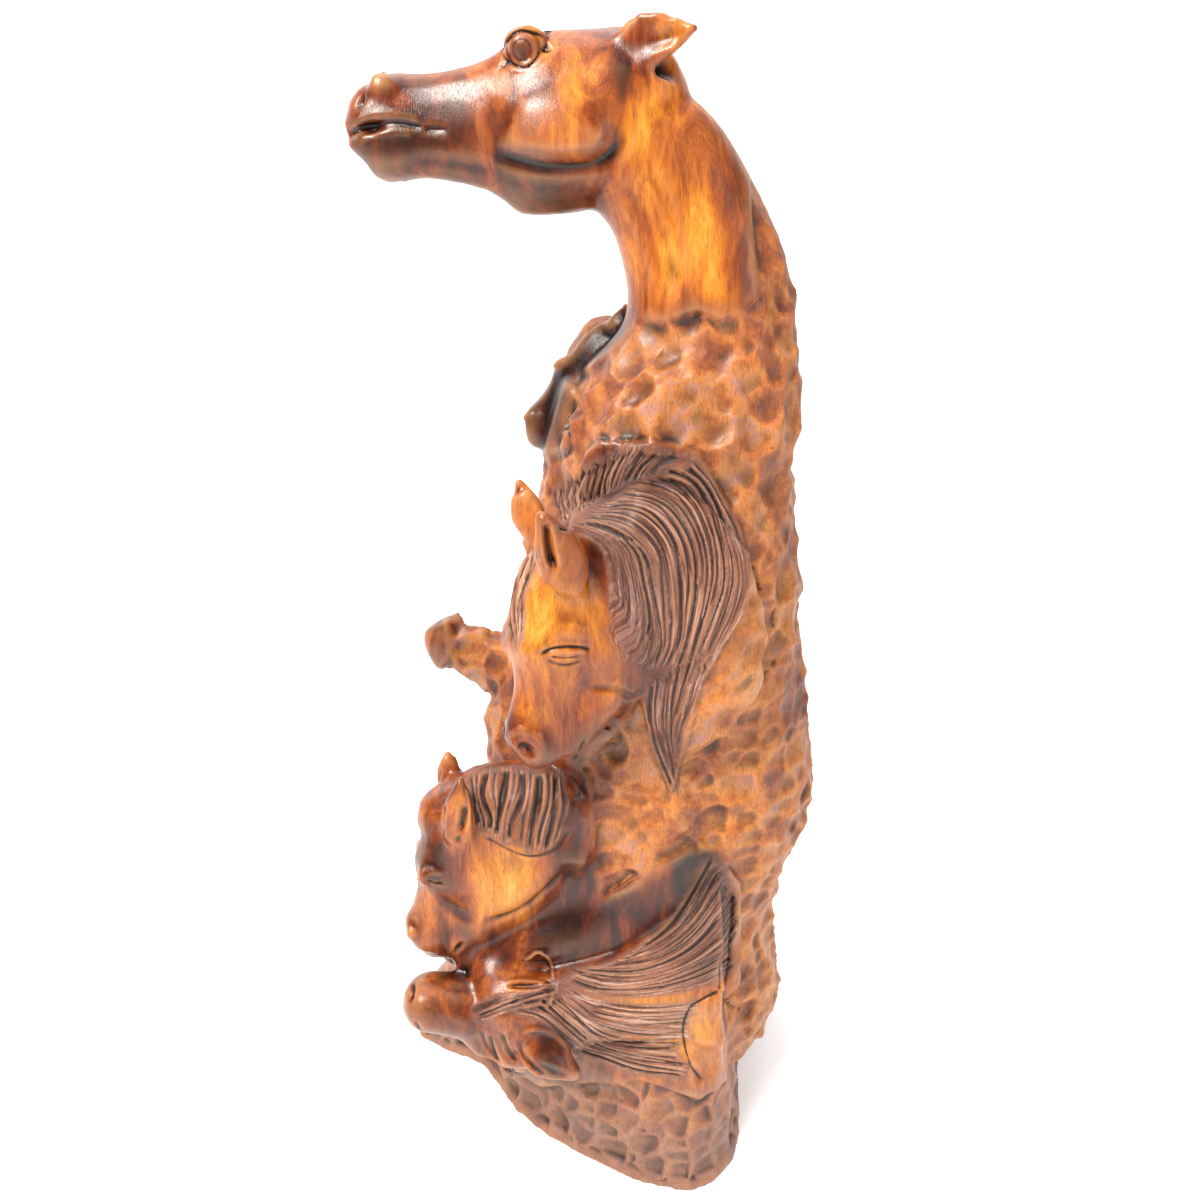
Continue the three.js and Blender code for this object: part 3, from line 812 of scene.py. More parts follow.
bottomFace = {
    "ridges": [
        ([(500, 985), (524, 981), (552, 985)], 4, 1.8),
        ([(441, 998), (462, 997), (480, 999)], 12, 1.4),
        ([(524, 962), (538, 952), (550, 961), (554, 982)], 3, 1.8),
        ([(493, 1034), (502, 1058), (516, 1070), (532, 1068)], 4, 1.8),
        ([(521, 1034), (533, 1029), (550, 1033), (568, 1047), (579, 1058)], 4, 1.6),
    ],
    "cuts": [
        ([(505, 990), (526, 988), (553, 991)], 2.2, 1.3),
        ([(510, 968), (516, 971), (522, 972)], 2.6, 1.0),
        ([(471, 975), (472, 990), (476, 1010)], 8, 1.2),
        ([(488, 1032), (494, 1054), (506, 1070), (524, 1075)], 3.4, 2.6),
        ([(500, 1030), (508, 1052), (520, 1062)], 3.4, 2.2),
        ([(480, 1028), (486, 1044), (493, 1058)], 3, 1.6),
        ([(414, 1020), (421, 1031), (432, 1034)], 3, 1.6),
        ([(519, 1036), (521, 1052), (532, 1066), (548, 1080)], 4, 2.2),
    ],
    "steps": [
        ([(734, 890), (733, 930), (726, 985), (693, 1010), (685, 1035), (690, 1060), (705, 1082)], 4, 1.2, -3.6),
    ],
    "swells": [
        ((540, 967), 10, -2.2, 1.4, (1, -0.2)),
        ((413, 988), 5, -2.4, 1.4, (0.3, 1)),
        ((420, 1000), 10, 1.0, 1.0, (1, 0)),
    ],
}
earHollows = [  # place, radius, depth, stretch, direction
    ((668, 36), 9.0, 3.0, 2.0, (1, -0.42)),
    ((517, 489), 6.5, 3.0, 1.5, (0.7, -0.5)),
]


def carveFace(wood, face, head):
    for line, width, height in face["ridges"]:
        carveLine(wood, line, width, -height, head)
    for line, width, depth in face["cuts"]:
        carveLine(wood, line, width, depth, head, soft=1.3)
    for line, width, depth, rise in face["steps"]:
        carveLine(wood, line, width, depth, head, other=rise)
    for place, radius, height, stretch, turn in face["swells"]:
        swell(wood, place, radius, height, head, stretch, turn)


def carveEye(wood, eye, head):
    # an open eye: a round ball in an almond of two lids, drawn out to a corner in front and behind
    for centre, along, out in featurePlaces(wood, eye["at"], eye["along"], head):
        index, a, b = flat(wood, centre, along, out, 30)
        up = np.sign(np.cross(out, along)[2]) * b
        r = np.sqrt((a / eye["long"]) ** 2 + (up / eye["tall"]) ** 2)
        angle = np.arctan2(up / eye["tall"], a / eye["long"])
        almond = 1 + eye["corners"] * np.abs(np.cos(angle)) ** 6
        q = r / almond
        crease = eye["crease"] * np.exp(-(((q - 1.0) / 0.10) ** 2))
        socket = eye["socket"] * np.exp(-((r / 2.0) ** 2))
        corner = 1.2 * smoothStep(q, 1.02, 0.9) * smoothStep(r, 0.95, 1.1)
        ball = eye["ball"] * np.sqrt(np.clip(1 - r**2, 0, 1))
        iris = eye["iris"] * np.exp(-(((r - 0.6) / 0.06) ** 2))
        wood.points[index] += out * ((ball - crease - socket - iris - corner) * mm)[:, None]


for face, head in ((topFace, "top"), (midFace, "mid"), (thirdFace, "third"), (bottomFace, "bottom")):
    carveFace(wood, face, head)
    wood.settle()
carveEye(wood, topEye, "top")
for place, radius, depth, stretch, turn in earHollows:
    swell(wood, place, radius, -depth, None, stretch, turn)
wood.settle()
print("faces: four carved")


# Combed hair: V-tool grooves. Each lock is a row of guide lines in the photograph, and the grooves run
# between them about one pitch apart.
combCuts = {
    "pitch": 4.3,  # pixels between grooves
    "width": 2.0 * mm,  # half of a groove
    "depth": 2.1 * mm,
    "border": (5.5 * mm, 3.0 * mm),  # the hair's colour fades out at the first distance, and is full by the second
    "coarse": {"thirdHair": 2.4},  # hair that hangs in lumps: wider and deeper grooves, further apart
    # fine fur behind the middle head's cheek, with no grooves of its own
    "fur": [(606, 585), (650, 600), (682, 600), (676, 650), (655, 674), (630, 668), (612, 640)],
    "pixel": 0.8 * mm,  # about what a pixel spans on the manes
    "locks": {
        "midMane": [
            [(560.7, 527), (583.6, 532), (602, 543), (611, 564), (616, 587), (618, 601)],
            [(579, 520), (606.6, 525), (632, 539), (648, 559), (652.5, 587), (657, 614), (659, 647), (648, 674)],
            [
                (600, 507), (628, 504), (651, 512), (669, 532), (677, 552), (681, 573), (683, 600), (680, 640),
                (664, 680),
            ],
            [
                (628, 486), (654, 491), (677, 504), (692, 527), (700, 550), (702, 573), (699, 600), (690, 640),
                (677, 685),
            ],
            [
                (667, 472), (692, 481), (710, 504), (719, 530), (723, 550), (724, 580), (716, 610), (705, 640),
                (690, 680),
            ],
            [
                (698, 462), (712, 481), (724, 506), (739, 532), (750, 558), (752, 583), (745, 609), (731, 635),
                (710, 668),
            ],
        ],
        "midCrest": [
            [(562, 522), (556, 505), (556, 490)],
            [(580, 512), (578, 490), (585, 470)],
            [(597, 501), (600, 478), (608, 458)],
            [(615, 490), (620, 470), (632, 449)],
            [(632, 482), (643, 466), (658, 452)],
            [(652, 474), (664, 464), (682, 457)],
        ],
        "midForelock": [
            [(526, 548), (514, 580), (510, 610), (513, 650)],
            [(541, 552), (534, 580), (526, 605), (521, 640)],
        ],
        "midTail": [
            [(652, 680), (650, 711), (656, 744), (666, 774), (674, 792)],
            [(668, 672), (663, 705), (664, 735), (671, 765), (676, 785)],
            [(692, 654), (680, 690), (672, 725), (672, 748)],
            [(712, 658), (699, 695), (684, 730), (674, 752)],
        ],
        "thirdHair": [
            [(466, 776), (474, 800), (478, 830)],
            [(485, 770), (483, 792), (489, 818), (488, 838)],
            [(506, 768), (503, 790), (500, 815), (496, 843)],
            [(524, 770), (522, 795), (512, 822), (510, 848)],
            [(538, 770), (537, 800), (533, 828), (528, 856)],
            [(556, 772), (556, 805), (549, 830), (544, 852)],
            [(568, 775), (572, 800), (570, 825), (562, 846)],
        ],
        "bottomUpper": [
            [(640, 950), (670, 927), (690, 900), (705, 872), (712, 856)],
            [(612, 965), (660, 952), (692, 926), (712, 898), (728, 876)],
            [(580, 968), (625, 972), (664, 964), (696, 946), (719, 920), (737, 890)],
            [(563, 970), (589, 982), (625, 986), (665, 980), (700, 966), (724, 948), (738, 925)],
            [(561, 978), (589, 991), (625, 997), (665, 993), (703, 984), (734, 970)],
        ],
        "bottomLower": [
            [(563, 986), (589, 1001), (621, 1008), (655, 1009), (703, 1003)],
            [(561, 993), (589, 1016), (621, 1026), (655, 1028), (690, 1026)],
            [(552, 996), (572, 1014), (596, 1033), (625, 1042), (655, 1044), (687, 1044)],
            [(540, 998), (562, 1020), (589, 1043), (621, 1055), (655, 1060), (694, 1066)],
            [(506, 1014), (536, 1018), (556, 1036), (575, 1052), (600, 1060), (639, 1074), (678, 1078), (704, 1084)],
        ],
        "bottomForelock": [
            [(559, 985), (536, 992), (506, 999), (474, 1012)],
            [(561, 995), (538, 1006), (506, 1014), (474, 1025)],
        ],
    },
}


def evenGuides(guides):
    # each guide line cut to the same number of steps
    share = np.linspace(0, 1, 90)
    even = []
    for guide in guides:
        line = spread(guide, 1.0)
        along = np.linspace(0, 1, len(line))
        even.append(np.stack([np.interp(share, along, line[:, k]) for k in (0, 1)], 1))
    return even


def combLock(wood, guides, dice, pitch, coarse):
    # grooves between neighbouring guides; where they crowd, every second one starts later
    even = evenGuides(guides)
    share = np.linspace(0, 1, 90)
    runs, deep, wide = [], [], []
    for left, right in zip(even[:-1], even[1:]):
        gap = np.linalg.norm(right - left, axis=1)
        count = max(2, int(round(np.percentile(gap, 75) / pitch))) if coarse == 1 else 2
        for k in range(count):
            t = (k + dice.uniform(-0.15, 0.15)) / count
            sway = (0.35 * pitch) * np.sin(share * dice.uniform(4, 9) + dice.uniform(0, 6.3))
            across = unit(right - left)
            line = left + (right - left) * t + across * (sway * np.clip(gap / 12, 0, 1))[:, None]
            room = gap / count * (2 if k % 2 == 0 else 1) * (2 if k % 4 == 0 else 1)
            fits = room > 0.62 * pitch / coarse
            if fits.sum() < 12:
                continue
            first, last = np.nonzero(fits)[0][[0, -1]]
            first += int(dice.uniform(0, 5))
            last -= int(dice.uniform(0, 9))
            for run in wood.line(line[first : last + 1 : 3]):
                runs.append(run)
                deep.append(dice.uniform(0.35, 1.1) * (1.5 if k % 4 == 0 else 1) * (1 if k else coarse**0.5))
                wide.append(dice.uniform(0.7, 1.1) * (1.35 if k % 4 == 0 else 1) * (1 if k else coarse**0.7))
    return runs, deep, wide


def strandPlaces(wood, locks, close):
    # where each point lies in its lock, across and along the strands, in metres
    samples, places = [], []
    for number, guides in enumerate(locks):
        even = evenGuides(guides)
        length = np.linalg.norm(np.diff(even[0], axis=0), axis=1).sum() * combCuts["pixel"]
        across = number * 0.3
        for left, right in zip(even[:-1], even[1:]):
            breadth = np.percentile(np.linalg.norm(right - left, axis=1), 75) * combCuts["pixel"]
            for t in np.arange(0, 1, 0.08):
                samples.append(left + (right - left) * t)
                along = np.linspace(0, length, len(left))
                places.append(np.stack([np.full(len(left), across + t * breadth), along], 1))
            across += breadth
    samples, places = np.vstack(samples), np.vstack(places)
    finder = kdtree.KDTree(len(samples))
    for k, (u, v) in enumerate(samples):
        finder.insert((u, v, 0), k)
    finder.balance()
    found = np.zeros((len(wood.points), 2))
    for k in close:
        hits = finder.find_n((*wood.pixels[k], 0), 3)
        best = [hit for hit in hits if abs(places[hit[1], 0] - places[hits[0][1], 0]) < 0.05]
        share = np.array([1 / (hit[2] + 0.05) for hit in best])
        found[k] = (places[[hit[1] for hit in best]] * share[:, None]).sum(0) / share.sum()
    return found


def combHair(wood):
    dice = np.random.default_rng(11)
    runs, deep, wide = [], [], []
    for name, guides in combCuts["locks"].items():
        coarse = combCuts["coarse"].get(name, 1)
        for store, more in zip((runs, deep, wide), combLock(wood, guides, dice, combCuts["pitch"], coarse)):
            store.extend(more)
    deep, wide = np.array(deep), np.array(wide)
    border, full = combCuts["border"]
    index, distance, share, number = near(wood, runs, border)
    half = combCuts["width"] * wide[number]
    ends = smoothStep(share, 0, 0.06) * smoothStep(1 - share, 0, 0.08)
    valley = np.clip(1 - distance / half, 0, 1) ** 0.85
    cut = np.zeros(len(wood.points))
    cut[index] = -combCuts["depth"] * deep[number] * valley * ends
    for _ in range(2):
        cut = 0.4 * cut + 0.6 * neighbourMean(cut, wood.edges)
    wood.push(cut)
    combed = np.zeros(len(wood.points))
    combed[index] = smoothStep(border - distance, 0, border - full)
    toward = wood.outward @ np.array(viewAxes()[0]) < 0
    furred = inside(wood.pixels, combCuts["fur"]) & toward & (wood.points[:, 1] < -60 * mm)
    combed[furred] = np.maximum(combed[furred], 0.8)
    strands = strandPlaces(wood, combCuts["locks"].values(), np.nonzero(combed > 0)[0])
    print(f"hair: {len(runs)} grooves")
    return combed, strands


combed, strands = combHair(wood)
wood.settle()


# The figure of the log: places of pale sapwood (above 0) and dark heartwood (below 0), as pixel, radius
# in pixels and strength; some dark places are painted shade in recesses and under the jaws. The figure runs
# through the log, so the far side takes it too.
figureAndShadePlaces = [
    (378, 118, 30, -0.6), (395, 130, 22, -0.7), (430, 85, 34, -0.6), (476, 116, 20, -0.1), (500, 116, 11, -1.1),
    (536, 92, 13, -0.7), (520, 130, 14, -0.3), (577, 100, 26, 0.5), (560, 140, 18, 0.1), (624, 72, 8, -1.3),
    (630, 94, 8, -1.2), (652, 104, 15, 1.0), (640, 135, 12, 0.8), (478, 172, 26, -1.0), (545, 198, 30, -1.1),
    (420, 152, 22, -0.6), (632, 250, 16, 0.3), (690, 240, 26, 0.6), (665, 180, 14, 0.5), (698, 205, 8, 1.4),
    (710, 245, 8, 1.3), (722, 290, 8, 1.0), (735, 190, 16, -0.6), (746, 255, 14, -0.5), (660, 290, 16, -0.2),
    (682, 322, 14, -0.4), (625, 34, 9, -0.3), (678, 32, 12, 1.1), (645, 362, 26, -0.45), (598, 400, 26, -0.3),
    (694, 400, 20, -0.3), (742, 345, 18, 0.6), (765, 420, 24, 0.7), (772, 505, 20, 0.8), (690, 432, 14, -0.9),
    (598, 338, 18, -2.0), (575, 360, 18, -2.0), (556, 395, 16, -1.6), (545, 425, 14, -0.8), (560, 465, 16, -0.8),
    (640, 500, 40, -0.7), (600, 478, 18, -0.6), (730, 565, 12, 0.2), (706, 620, 12, 0.2), (648, 625, 20, -0.3),
    (660, 690, 18, -0.8), (662, 762, 14, -1.0), (690, 690, 12, 0.0), (560, 615, 32, 1.1), (545, 690, 22, 0.8),
    (588, 705, 22, 0.6), (520, 747, 12, -0.2), (513, 600, 10, -0.4), (562, 555, 18, 0.5), (520, 512, 14, 0.1),
    (610, 760, 24, -0.6), (520, 800, 34, -0.6), (508, 880, 26, 0.8), (430, 920, 20, 0.3), (428, 850, 14, -0.6),
    (455, 825, 12, 0.9), (577, 870, 20, -0.9), (775, 622, 24, 0.9), (740, 685, 22, 0.7), (790, 760, 20, 0.7),
    (728, 775, 20, 0.1), (770, 850, 22, 0.9), (640, 835, 24, 0.5), (760, 935, 20, 0.9), (755, 1000, 20, 0.7),
    (590, 930, 22, -0.6), (680, 880, 24, -1.3), (430, 1000, 18, -0.2), (468, 985, 18, -0.7), (505, 1000, 18, 0.2),
    (540, 998, 14, 0.2), (615, 990, 30, 0.7), (675, 1030, 20, 0.9), (625, 1045, 20, 0.8), (700, 930, 18, -0.7),
    (704, 1050, 14, 0.7), (555, 1060, 16, -0.3), (560, 1108, 26, 0.0), (640, 1130, 30, -0.4), (705, 1150, 26, -0.4),
    (600, 925, 22, -1.5), (550, 935, 16, -1.5), (640, 905, 20, -1.5), (700, 868, 14, -2.2), (500, 945, 14, -1.5),
    (580, 880, 12, -0.7), (575, 830, 12, -0.6), (553, 1060, 12, -0.9), (540, 965, 8, -1.0), (470, 935, 8, -0.6),
    (520, 1090, 18, 0.4), (455, 650, 22, -0.9), (500, 700, 20, -0.9), (520, 49, 7, -1.6), (500, 640, 8, -0.6),
]


def figureAndShadeOf(wood):
    # the tone of the log at each point, with its painted shade, from the places around it
    total, weight = np.zeros(len(wood.points)), np.full(len(wood.points), 0.25)
    for u, v, radius, tone in figureAndShadePlaces:
        away = ((wood.pixels[:, 0] - u) ** 2 + 0.6 * (wood.pixels[:, 1] - v) ** 2) / (1.25 * radius) ** 2
        share = np.exp(-away)
        total += share * tone
        weight += share
    return total / weight


# Finish the mesh: attributes for the finish, then fewer triangles where the surface is plain.
hollowSizes = {"fineHollow": (3, 0.35 * mm), "wideHollow": (14, 1.1 * mm)}  # rounds, and the depth of a full one


def hollows(wood, rounds):
    # how far each point stands above (or below) the smoothed surface
    soft = wood.points
    for _ in range(rounds):
        soft = neighbourMean(soft, wood.edges)
    return ((wood.points - soft) * wood.outward).sum(1)


def keepAttribute(mesh, name, values):
    layer = mesh.attributes.new(name, "FLOAT", "POINT")
    layer.data.foreach_set("value", values.astype(np.float32))


def finishMesh(wood, traits):
    mesh = wood.piece.data
    wood.points[:, 2] = np.maximum(wood.points[:, 2], 0)
    wood.settle()
    for name, (rounds, full) in hollowSizes.items():
        keepAttribute(mesh, name, np.clip(hollows(wood, rounds) / full, -1, 1))
    for name, values in traits.items():
        keepAttribute(mesh, name, values)
    keepAttribute(mesh, "figureAndShade", figureAndShadeOf(wood))
    thin = wood.piece.modifiers.new("thin", "DECIMATE")
    corners = sum(len(face.vertices) - 2 for face in mesh.polygons)
    thin.ratio = block["triangles"] / corners
    evaluated(wood.piece)
    mesh = wood.piece.data
    mesh.polygons.foreach_set("use_smooth", np.ones(len(mesh.polygons), bool))
    mesh.update()
    print(f"finished mesh: {sum(len(face.vertices) - 2 for face in mesh.polygons)} triangles")


finishMesh(
    wood,
    {
        "combed": combed,
        "facet": facet,
        "strandAcross": strands[:, 0],
        "strandAlong": strands[:, 1],
        "gouged": 1 - shielded,
    },
)


# Finishes.
def linear(hexColour):
    parts = [int(hexColour[k : k + 2], 16) / 255 for k in (1, 3, 5)]
    return tuple(p / 12.92 if p <= 0.04045 else ((p + 0.055) / 1.055) ** 2.4 for p in parts) + (1.0,)


def addNode(tree, kind, settings=None, links=None):
    # settings and links are given by the name or the number of an input
    node = tree.nodes.new(kind)
    for name, value in (settings or {}).items():
        if isinstance(name, int) or not hasattr(node, name):
            node.inputs[name].default_value = value
        else:
            setattr(node, name, value)
    for name, source in (links or {}).items():
        tree.links.new(source.outputs[0] if isinstance(source, bpy.types.Node) else source, node.inputs[name])
    return node


hardwood = {
    # stops of each colour: the log from the darkest heartwood to sapwood, whose dark end also gives the painted
    # shade, the gouge cuts and the hair
    "figureAndShade": [
        (0.03, "#1d0b06"), (0.20, "#45190b"), (0.36, "#742f0e"), (0.50, "#9c4c14"), (0.64, "#bf6b1a"),
        (0.80, "#d98b28"), (0.97, "#e8ab52"),
    ],
    # the palest gouge stop is a painted grey-pink sheen
    "worked": [(0.0, "#59302a"), (0.25, "#84482f"), (0.5, "#b0602a"), (0.75, "#cc8440"), (1.0, "#b98474")],
    # the pale grey-pink hair stops are partly a painted sheen
    "hair": [(0.0, "#130908"), (0.3, "#3a1c17"), (0.55, "#774a3d"), (0.8, "#b58d7e"), (1.0, "#d6b9a8")],
    "growthLine": "#4a1a08",
    "footDust": "#84706a",
    # painted shade for the hollows
    "hollowShade": "#160805",
    "worn": "#dfa06a",
    "pore": "#2a1007",
}


# Varnished tropical hardwood, carved along the log: amber sapwood and dark brown heartwood in long bands,
# fine dark pores along the grain, painted shade in the cuts and paler wear on their edges, clear gloss on top.
# The gouge cuts are duller and each has its own painted shade, a few with a painted grey-pink sheen; the hair is
# dark with grey-pink strands that are partly a painted sheen.
def varnishedHardwood():
    material = bpy.data.materials.new("varnished_hardwood")
    material.use_nodes = True
    tree = material.node_tree
    tree.nodes.clear()
    place = addNode(tree, "ShaderNodeTexCoord").outputs["Object"]
    traits = {}
    for name in ("figureAndShade", "facet", "gouged", "combed", "wideHollow", "fineHollow", "strandAcross", "strandAlong"):
        traits[name] = addNode(tree, "ShaderNodeAttribute", {"attribute_name": name}).outputs["Fac"]

    # bands about 60 mm wide and flames about 20 mm wide, four times as long up the log
    upLog = addNode(tree, "ShaderNodeMapping", {"Scale": (1, 1, 0.24)}, {"Vector": place})
    banded = {"Scale": 17, "Detail": 4, "Roughness": 0.6, "Distortion": 0.8}
    bands = addNode(tree, "ShaderNodeTexNoise", banded, {0: upLog})
    flamed = {"Scale": 46, "Detail": 5, "Roughness": 0.65, "Distortion": 1.4}
    flames = addNode(tree, "ShaderNodeTexNoise", flamed, {0: upLog})
    # growth lines about 3 mm apart, drawn out along the log
    drawnOut = addNode(tree, "ShaderNodeMapping", {"Scale": (1, 1, 0.06)}, {"Vector": place})
    lines = addNode(tree, "ShaderNodeTexNoise", {"Scale": 210, "Detail": 3, "Roughness": 0.6}, {0: drawnOut})
    # pores are finer than half a millimetre; drawn at 0.6 mm so that they show
    poreWay = addNode(tree, "ShaderNodeMapping", {"Scale": (1, 1, 0.10)}, {"Vector": place})
    pores = addNode(tree, "ShaderNodeTexNoise", {"Scale": 900, "Detail": 2, "Roughness": 0.7}, {0: poreWay})
    poreMask = addNode(tree, "ShaderNodeMapRange", {"From Min": 0.52, "From Max": 0.68}, {"Value": pores})

    # the listed places lead the tone: the figure, and painted shade under the jaws and in recesses
    led = addNode(tree, "ShaderNodeMath", {"operation": "MULTIPLY_ADD", 1: 0.34, 2: 0.45}, {0: traits["figureAndShade"]})
    broad = addNode(tree, "ShaderNodeMapRange", {"clamp": False, "To Min": -0.48, "To Max": 0.48}, {"Value": bands})
    fiery = addNode(tree, "ShaderNodeMapRange", {"clamp": False, "To Min": -0.46, "To Max": 0.46}, {"Value": flames})
    tone = addNode(tree, "ShaderNodeMath", {"operation": "ADD"}, {0: broad, 1: fiery})
    tone = addNode(tree, "ShaderNodeMath", {"operation": "ADD", "use_clamp": True}, {0: tone, 1: led})
    figureAndShade = addNode(tree, "ShaderNodeValToRGB", links={"Fac": tone})
    thinned = {"From Min": 0.45, "From Max": 0.85, "To Max": 0.5}
    lineShare = addNode(tree, "ShaderNodeMapRange", thinned, {"Value": lines})
    colour = addNode(
        tree,
        "ShaderNodeMix",
        {"data_type": "RGBA", 7: linear(hardwood["growthLine"])},
        {0: lineShare, 6: figureAndShade.outputs["Color"]},
    ).outputs[2]

    # gouge cuts: a painted shade for each, as its facet would catch the light, and clouds about 25 mm wide across
    # them
    patches = addNode(tree, "ShaderNodeTexNoise", {"Scale": 38, "Detail": 6, "Roughness": 0.7}, {0: place})
    cloud = addNode(tree, "ShaderNodeMapRange", {"From Min": 0.3, "From Max": 0.7}, {"Value": patches})
    shade = addNode(tree, "ShaderNodeMath", {"operation": "MULTIPLY_ADD", 1: 0.2, 2: 0.05}, {0: traits["facet"]})
    shade = addNode(tree, "ShaderNodeMath", {"operation": "ADD"}, {0: shade, 1: cloud})
    worked = addNode(tree, "ShaderNodeValToRGB", links={"Fac": shade})
    workedShare = addNode(tree, "ShaderNodeMath", {"operation": "MULTIPLY", 1: 0.68}, {0: traits["gouged"]})
    colour = addNode(
        tree, "ShaderNodeMix", {"data_type": "RGBA"}, {0: workedShare, 6: colour, 7: worked.outputs["Color"]}
    ).outputs[2]

    # fine strands about 1.2 mm wide that follow the combed grooves
    strandPlace = addNode(tree, "ShaderNodeCombineXYZ", links={0: traits["strandAcross"], 1: traits["strandAlong"]})
    strandWay = addNode(tree, "ShaderNodeMapping", {"Scale": (1, 0.05, 1)}, {"Vector": strandPlace})
    fineStrands = addNode(tree, "ShaderNodeTexNoise", {"Scale": 430, "Detail": 4, "Roughness": 0.75}, {0: strandWay})
    streaks = addNode(
        tree, "ShaderNodeMapRange", {"clamp": False, "From Min": 0.28, "From Max": 0.70}, {"Value": fineStrands}
    )
    streaks = addNode(
        tree, "ShaderNodeMath", {"operation": "MULTIPLY_ADD", 1: 0.16}, {0: traits["figureAndShade"], 2: streaks}
    )
    # pale grey-pink strands, partly a painted sheen
    hair = addNode(tree, "ShaderNodeValToRGB", links={"Fac": streaks})
    hairShare = addNode(tree, "ShaderNodeMath", {"operation": "MULTIPLY", 1: 0.82}, {0: traits["combed"]})
    colour = addNode(
        tree, "ShaderNodeMix", {"data_type": "RGBA"}, {0: hairShare, 6: colour, 7: hair.outputs["Color"]}
    ).outputs[2]

    # the foot, where the varnish has dulled, is greyer up to about 150 mm
    height = addNode(tree, "ShaderNodeSeparateXYZ", links={0: place})
    low = {"From Min": 0.03, "From Max": 0.16, "To Min": 0.55, "To Max": 0.0}
    dustShare = addNode(tree, "ShaderNodeMapRange", low, {"Value": height.outputs["Z"]})
    colour = addNode(
        tree, "ShaderNodeMix", {"data_type": "RGBA", 7: linear(hardwood["footDust"])}, {0: dustShare, 6: colour}
    ).outputs[2]

    # dark pores
    poreShare = addNode(tree, "ShaderNodeMath", {"operation": "MULTIPLY", 1: 0.42}, {0: poreMask})
    colour = addNode(
        tree, "ShaderNodeMix", {"data_type": "RGBA", 7: linear(hardwood["pore"])}, {0: poreShare, 6: colour}
    ).outputs[2]

    # painted shade in the hollows and wear on the edges, less of both across the broad gouge cuts
    broadShare = addNode(tree, "ShaderNodeMapRange", {"To Min": 1.0, "To Max": 0.12}, {"Value": traits["gouged"]})
    wide = addNode(tree, "ShaderNodeMath", {"operation": "MULTIPLY"}, {0: traits["wideHollow"], 1: broadShare})
    deep = addNode(tree, "ShaderNodeMath", {"operation": "MULTIPLY_ADD", 1: 0.9}, {0: wide, 2: traits["fineHollow"]})
    hollowShadeShare = addNode(tree, "ShaderNodeMath", {"operation": "MULTIPLY", "use_clamp": True, 1: -0.8}, {0: deep})
    colour = addNode(
        tree, "ShaderNodeMix", {"data_type": "RGBA", 7: linear(hardwood["hollowShade"])}, {0: hollowShadeShare, 6: colour}
    ).outputs[2]
    wornMost = addNode(tree, "ShaderNodeMapRange", {"To Min": 0.2, "To Max": 0.08}, {"Value": traits["gouged"]})
    wornShare = addNode(tree, "ShaderNodeMath", {"operation": "MULTIPLY", "use_clamp": True}, {0: deep, 1: wornMost})
    colour = addNode(
        tree, "ShaderNodeMix", {"data_type": "RGBA", 7: linear(hardwood["worn"])}, {0: wornShare, 6: colour}
    ).outputs[2]

    # gloss: polished heads about 0.32, gouge cuts and hair duller
    dull = addNode(tree, "ShaderNodeMath", {"operation": "MULTIPLY_ADD", 1: 0.18, 2: 0.25}, {0: traits["gouged"]})
    dull = addNode(tree, "ShaderNodeMath", {"operation": "MULTIPLY_ADD", 1: 0.22}, {0: traits["combed"], 2: dull})
    rough = addNode(tree, "ShaderNodeMath", {"operation": "MULTIPLY_ADD", 1: 0.14}, {0: pores, 2: dull})
    # relief of pores and growth lines, and of the finest strands
    relief = addNode(tree, "ShaderNodeMath", {"operation": "MULTIPLY_ADD", 1: -0.9}, {0: poreMask, 2: lines})
    grain = addNode(tree, "ShaderNodeBump", {"Strength": 0.2, "Distance": 0.0004}, {"Height": relief})
    combedRelief = addNode(tree, "ShaderNodeMath", {"operation": "MULTIPLY"}, {0: fineStrands, 1: traits["combed"]})
    normal = addNode(
        tree, "ShaderNodeBump", {"Strength": 0.6, "Distance": 0.0012}, {"Height": combedRelief, "Normal": grain}
    )
    # the stops of the three colours
    for node, stops in ((figureAndShade, "figureAndShade"), (worked, "worked"), (hair, "hair")):
        band = node.color_ramp
        while len(band.elements) < len(hardwood[stops]):
            band.elements.new(0.5)
        for element, (stop, shade) in zip(band.elements, hardwood[stops]):
            element.position, element.color = stop, linear(shade)
    surface = addNode(
        tree,
        "ShaderNodeBsdfPrincipled",
        {"IOR": 1.5, "Coat Weight": 0.06, "Coat Roughness": 0.14, "Coat IOR": 1.5},
        {"Base Color": colour, "Roughness": rough, "Normal": normal},
    )
    addNode(tree, "ShaderNodeOutputMaterial", links={"Surface": surface})
    return material


piece.data.materials.clear()
piece.data.materials.append(varnishedHardwood())
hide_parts("horse_carving")
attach(piece, "root")
print("finish: varnished hardwood")


# A pale floor that rises into a wall, soft light and the camera.
studio = {
    "floorColour": "#f4f3f1",
    "floorGlow": 0.26,  # keeps the far floor as pale as the near floor
    "wallBack": 2.4,
    "wallTop": 5.0,
    "reach": 6.0,  # of the floor to the front and to each side
    "curve": 1.2,  # radius between floor and wall
    "lights": [
        # name, place, size, power, colour
        ("key", (-1.0, -1.1, 2.3), 0.9, 80, "#fffaf2"),
        ("fill", (1.7, -1.2, 1.2), 1.4, 12, "#f3f6ff"),
        ("rim", (-1.4, 1.2, 1.4), 1.2, 6, "#f4f7ff"),
        ("wallWash", (0.0, 0.7, 3.4), 3.0, 60, "#ffffff"),
    ],
    "sky": 0.42,  # light of the room on dull surfaces
    "mirrored": 0.08,  # and in the gloss, where the real room was darker
}


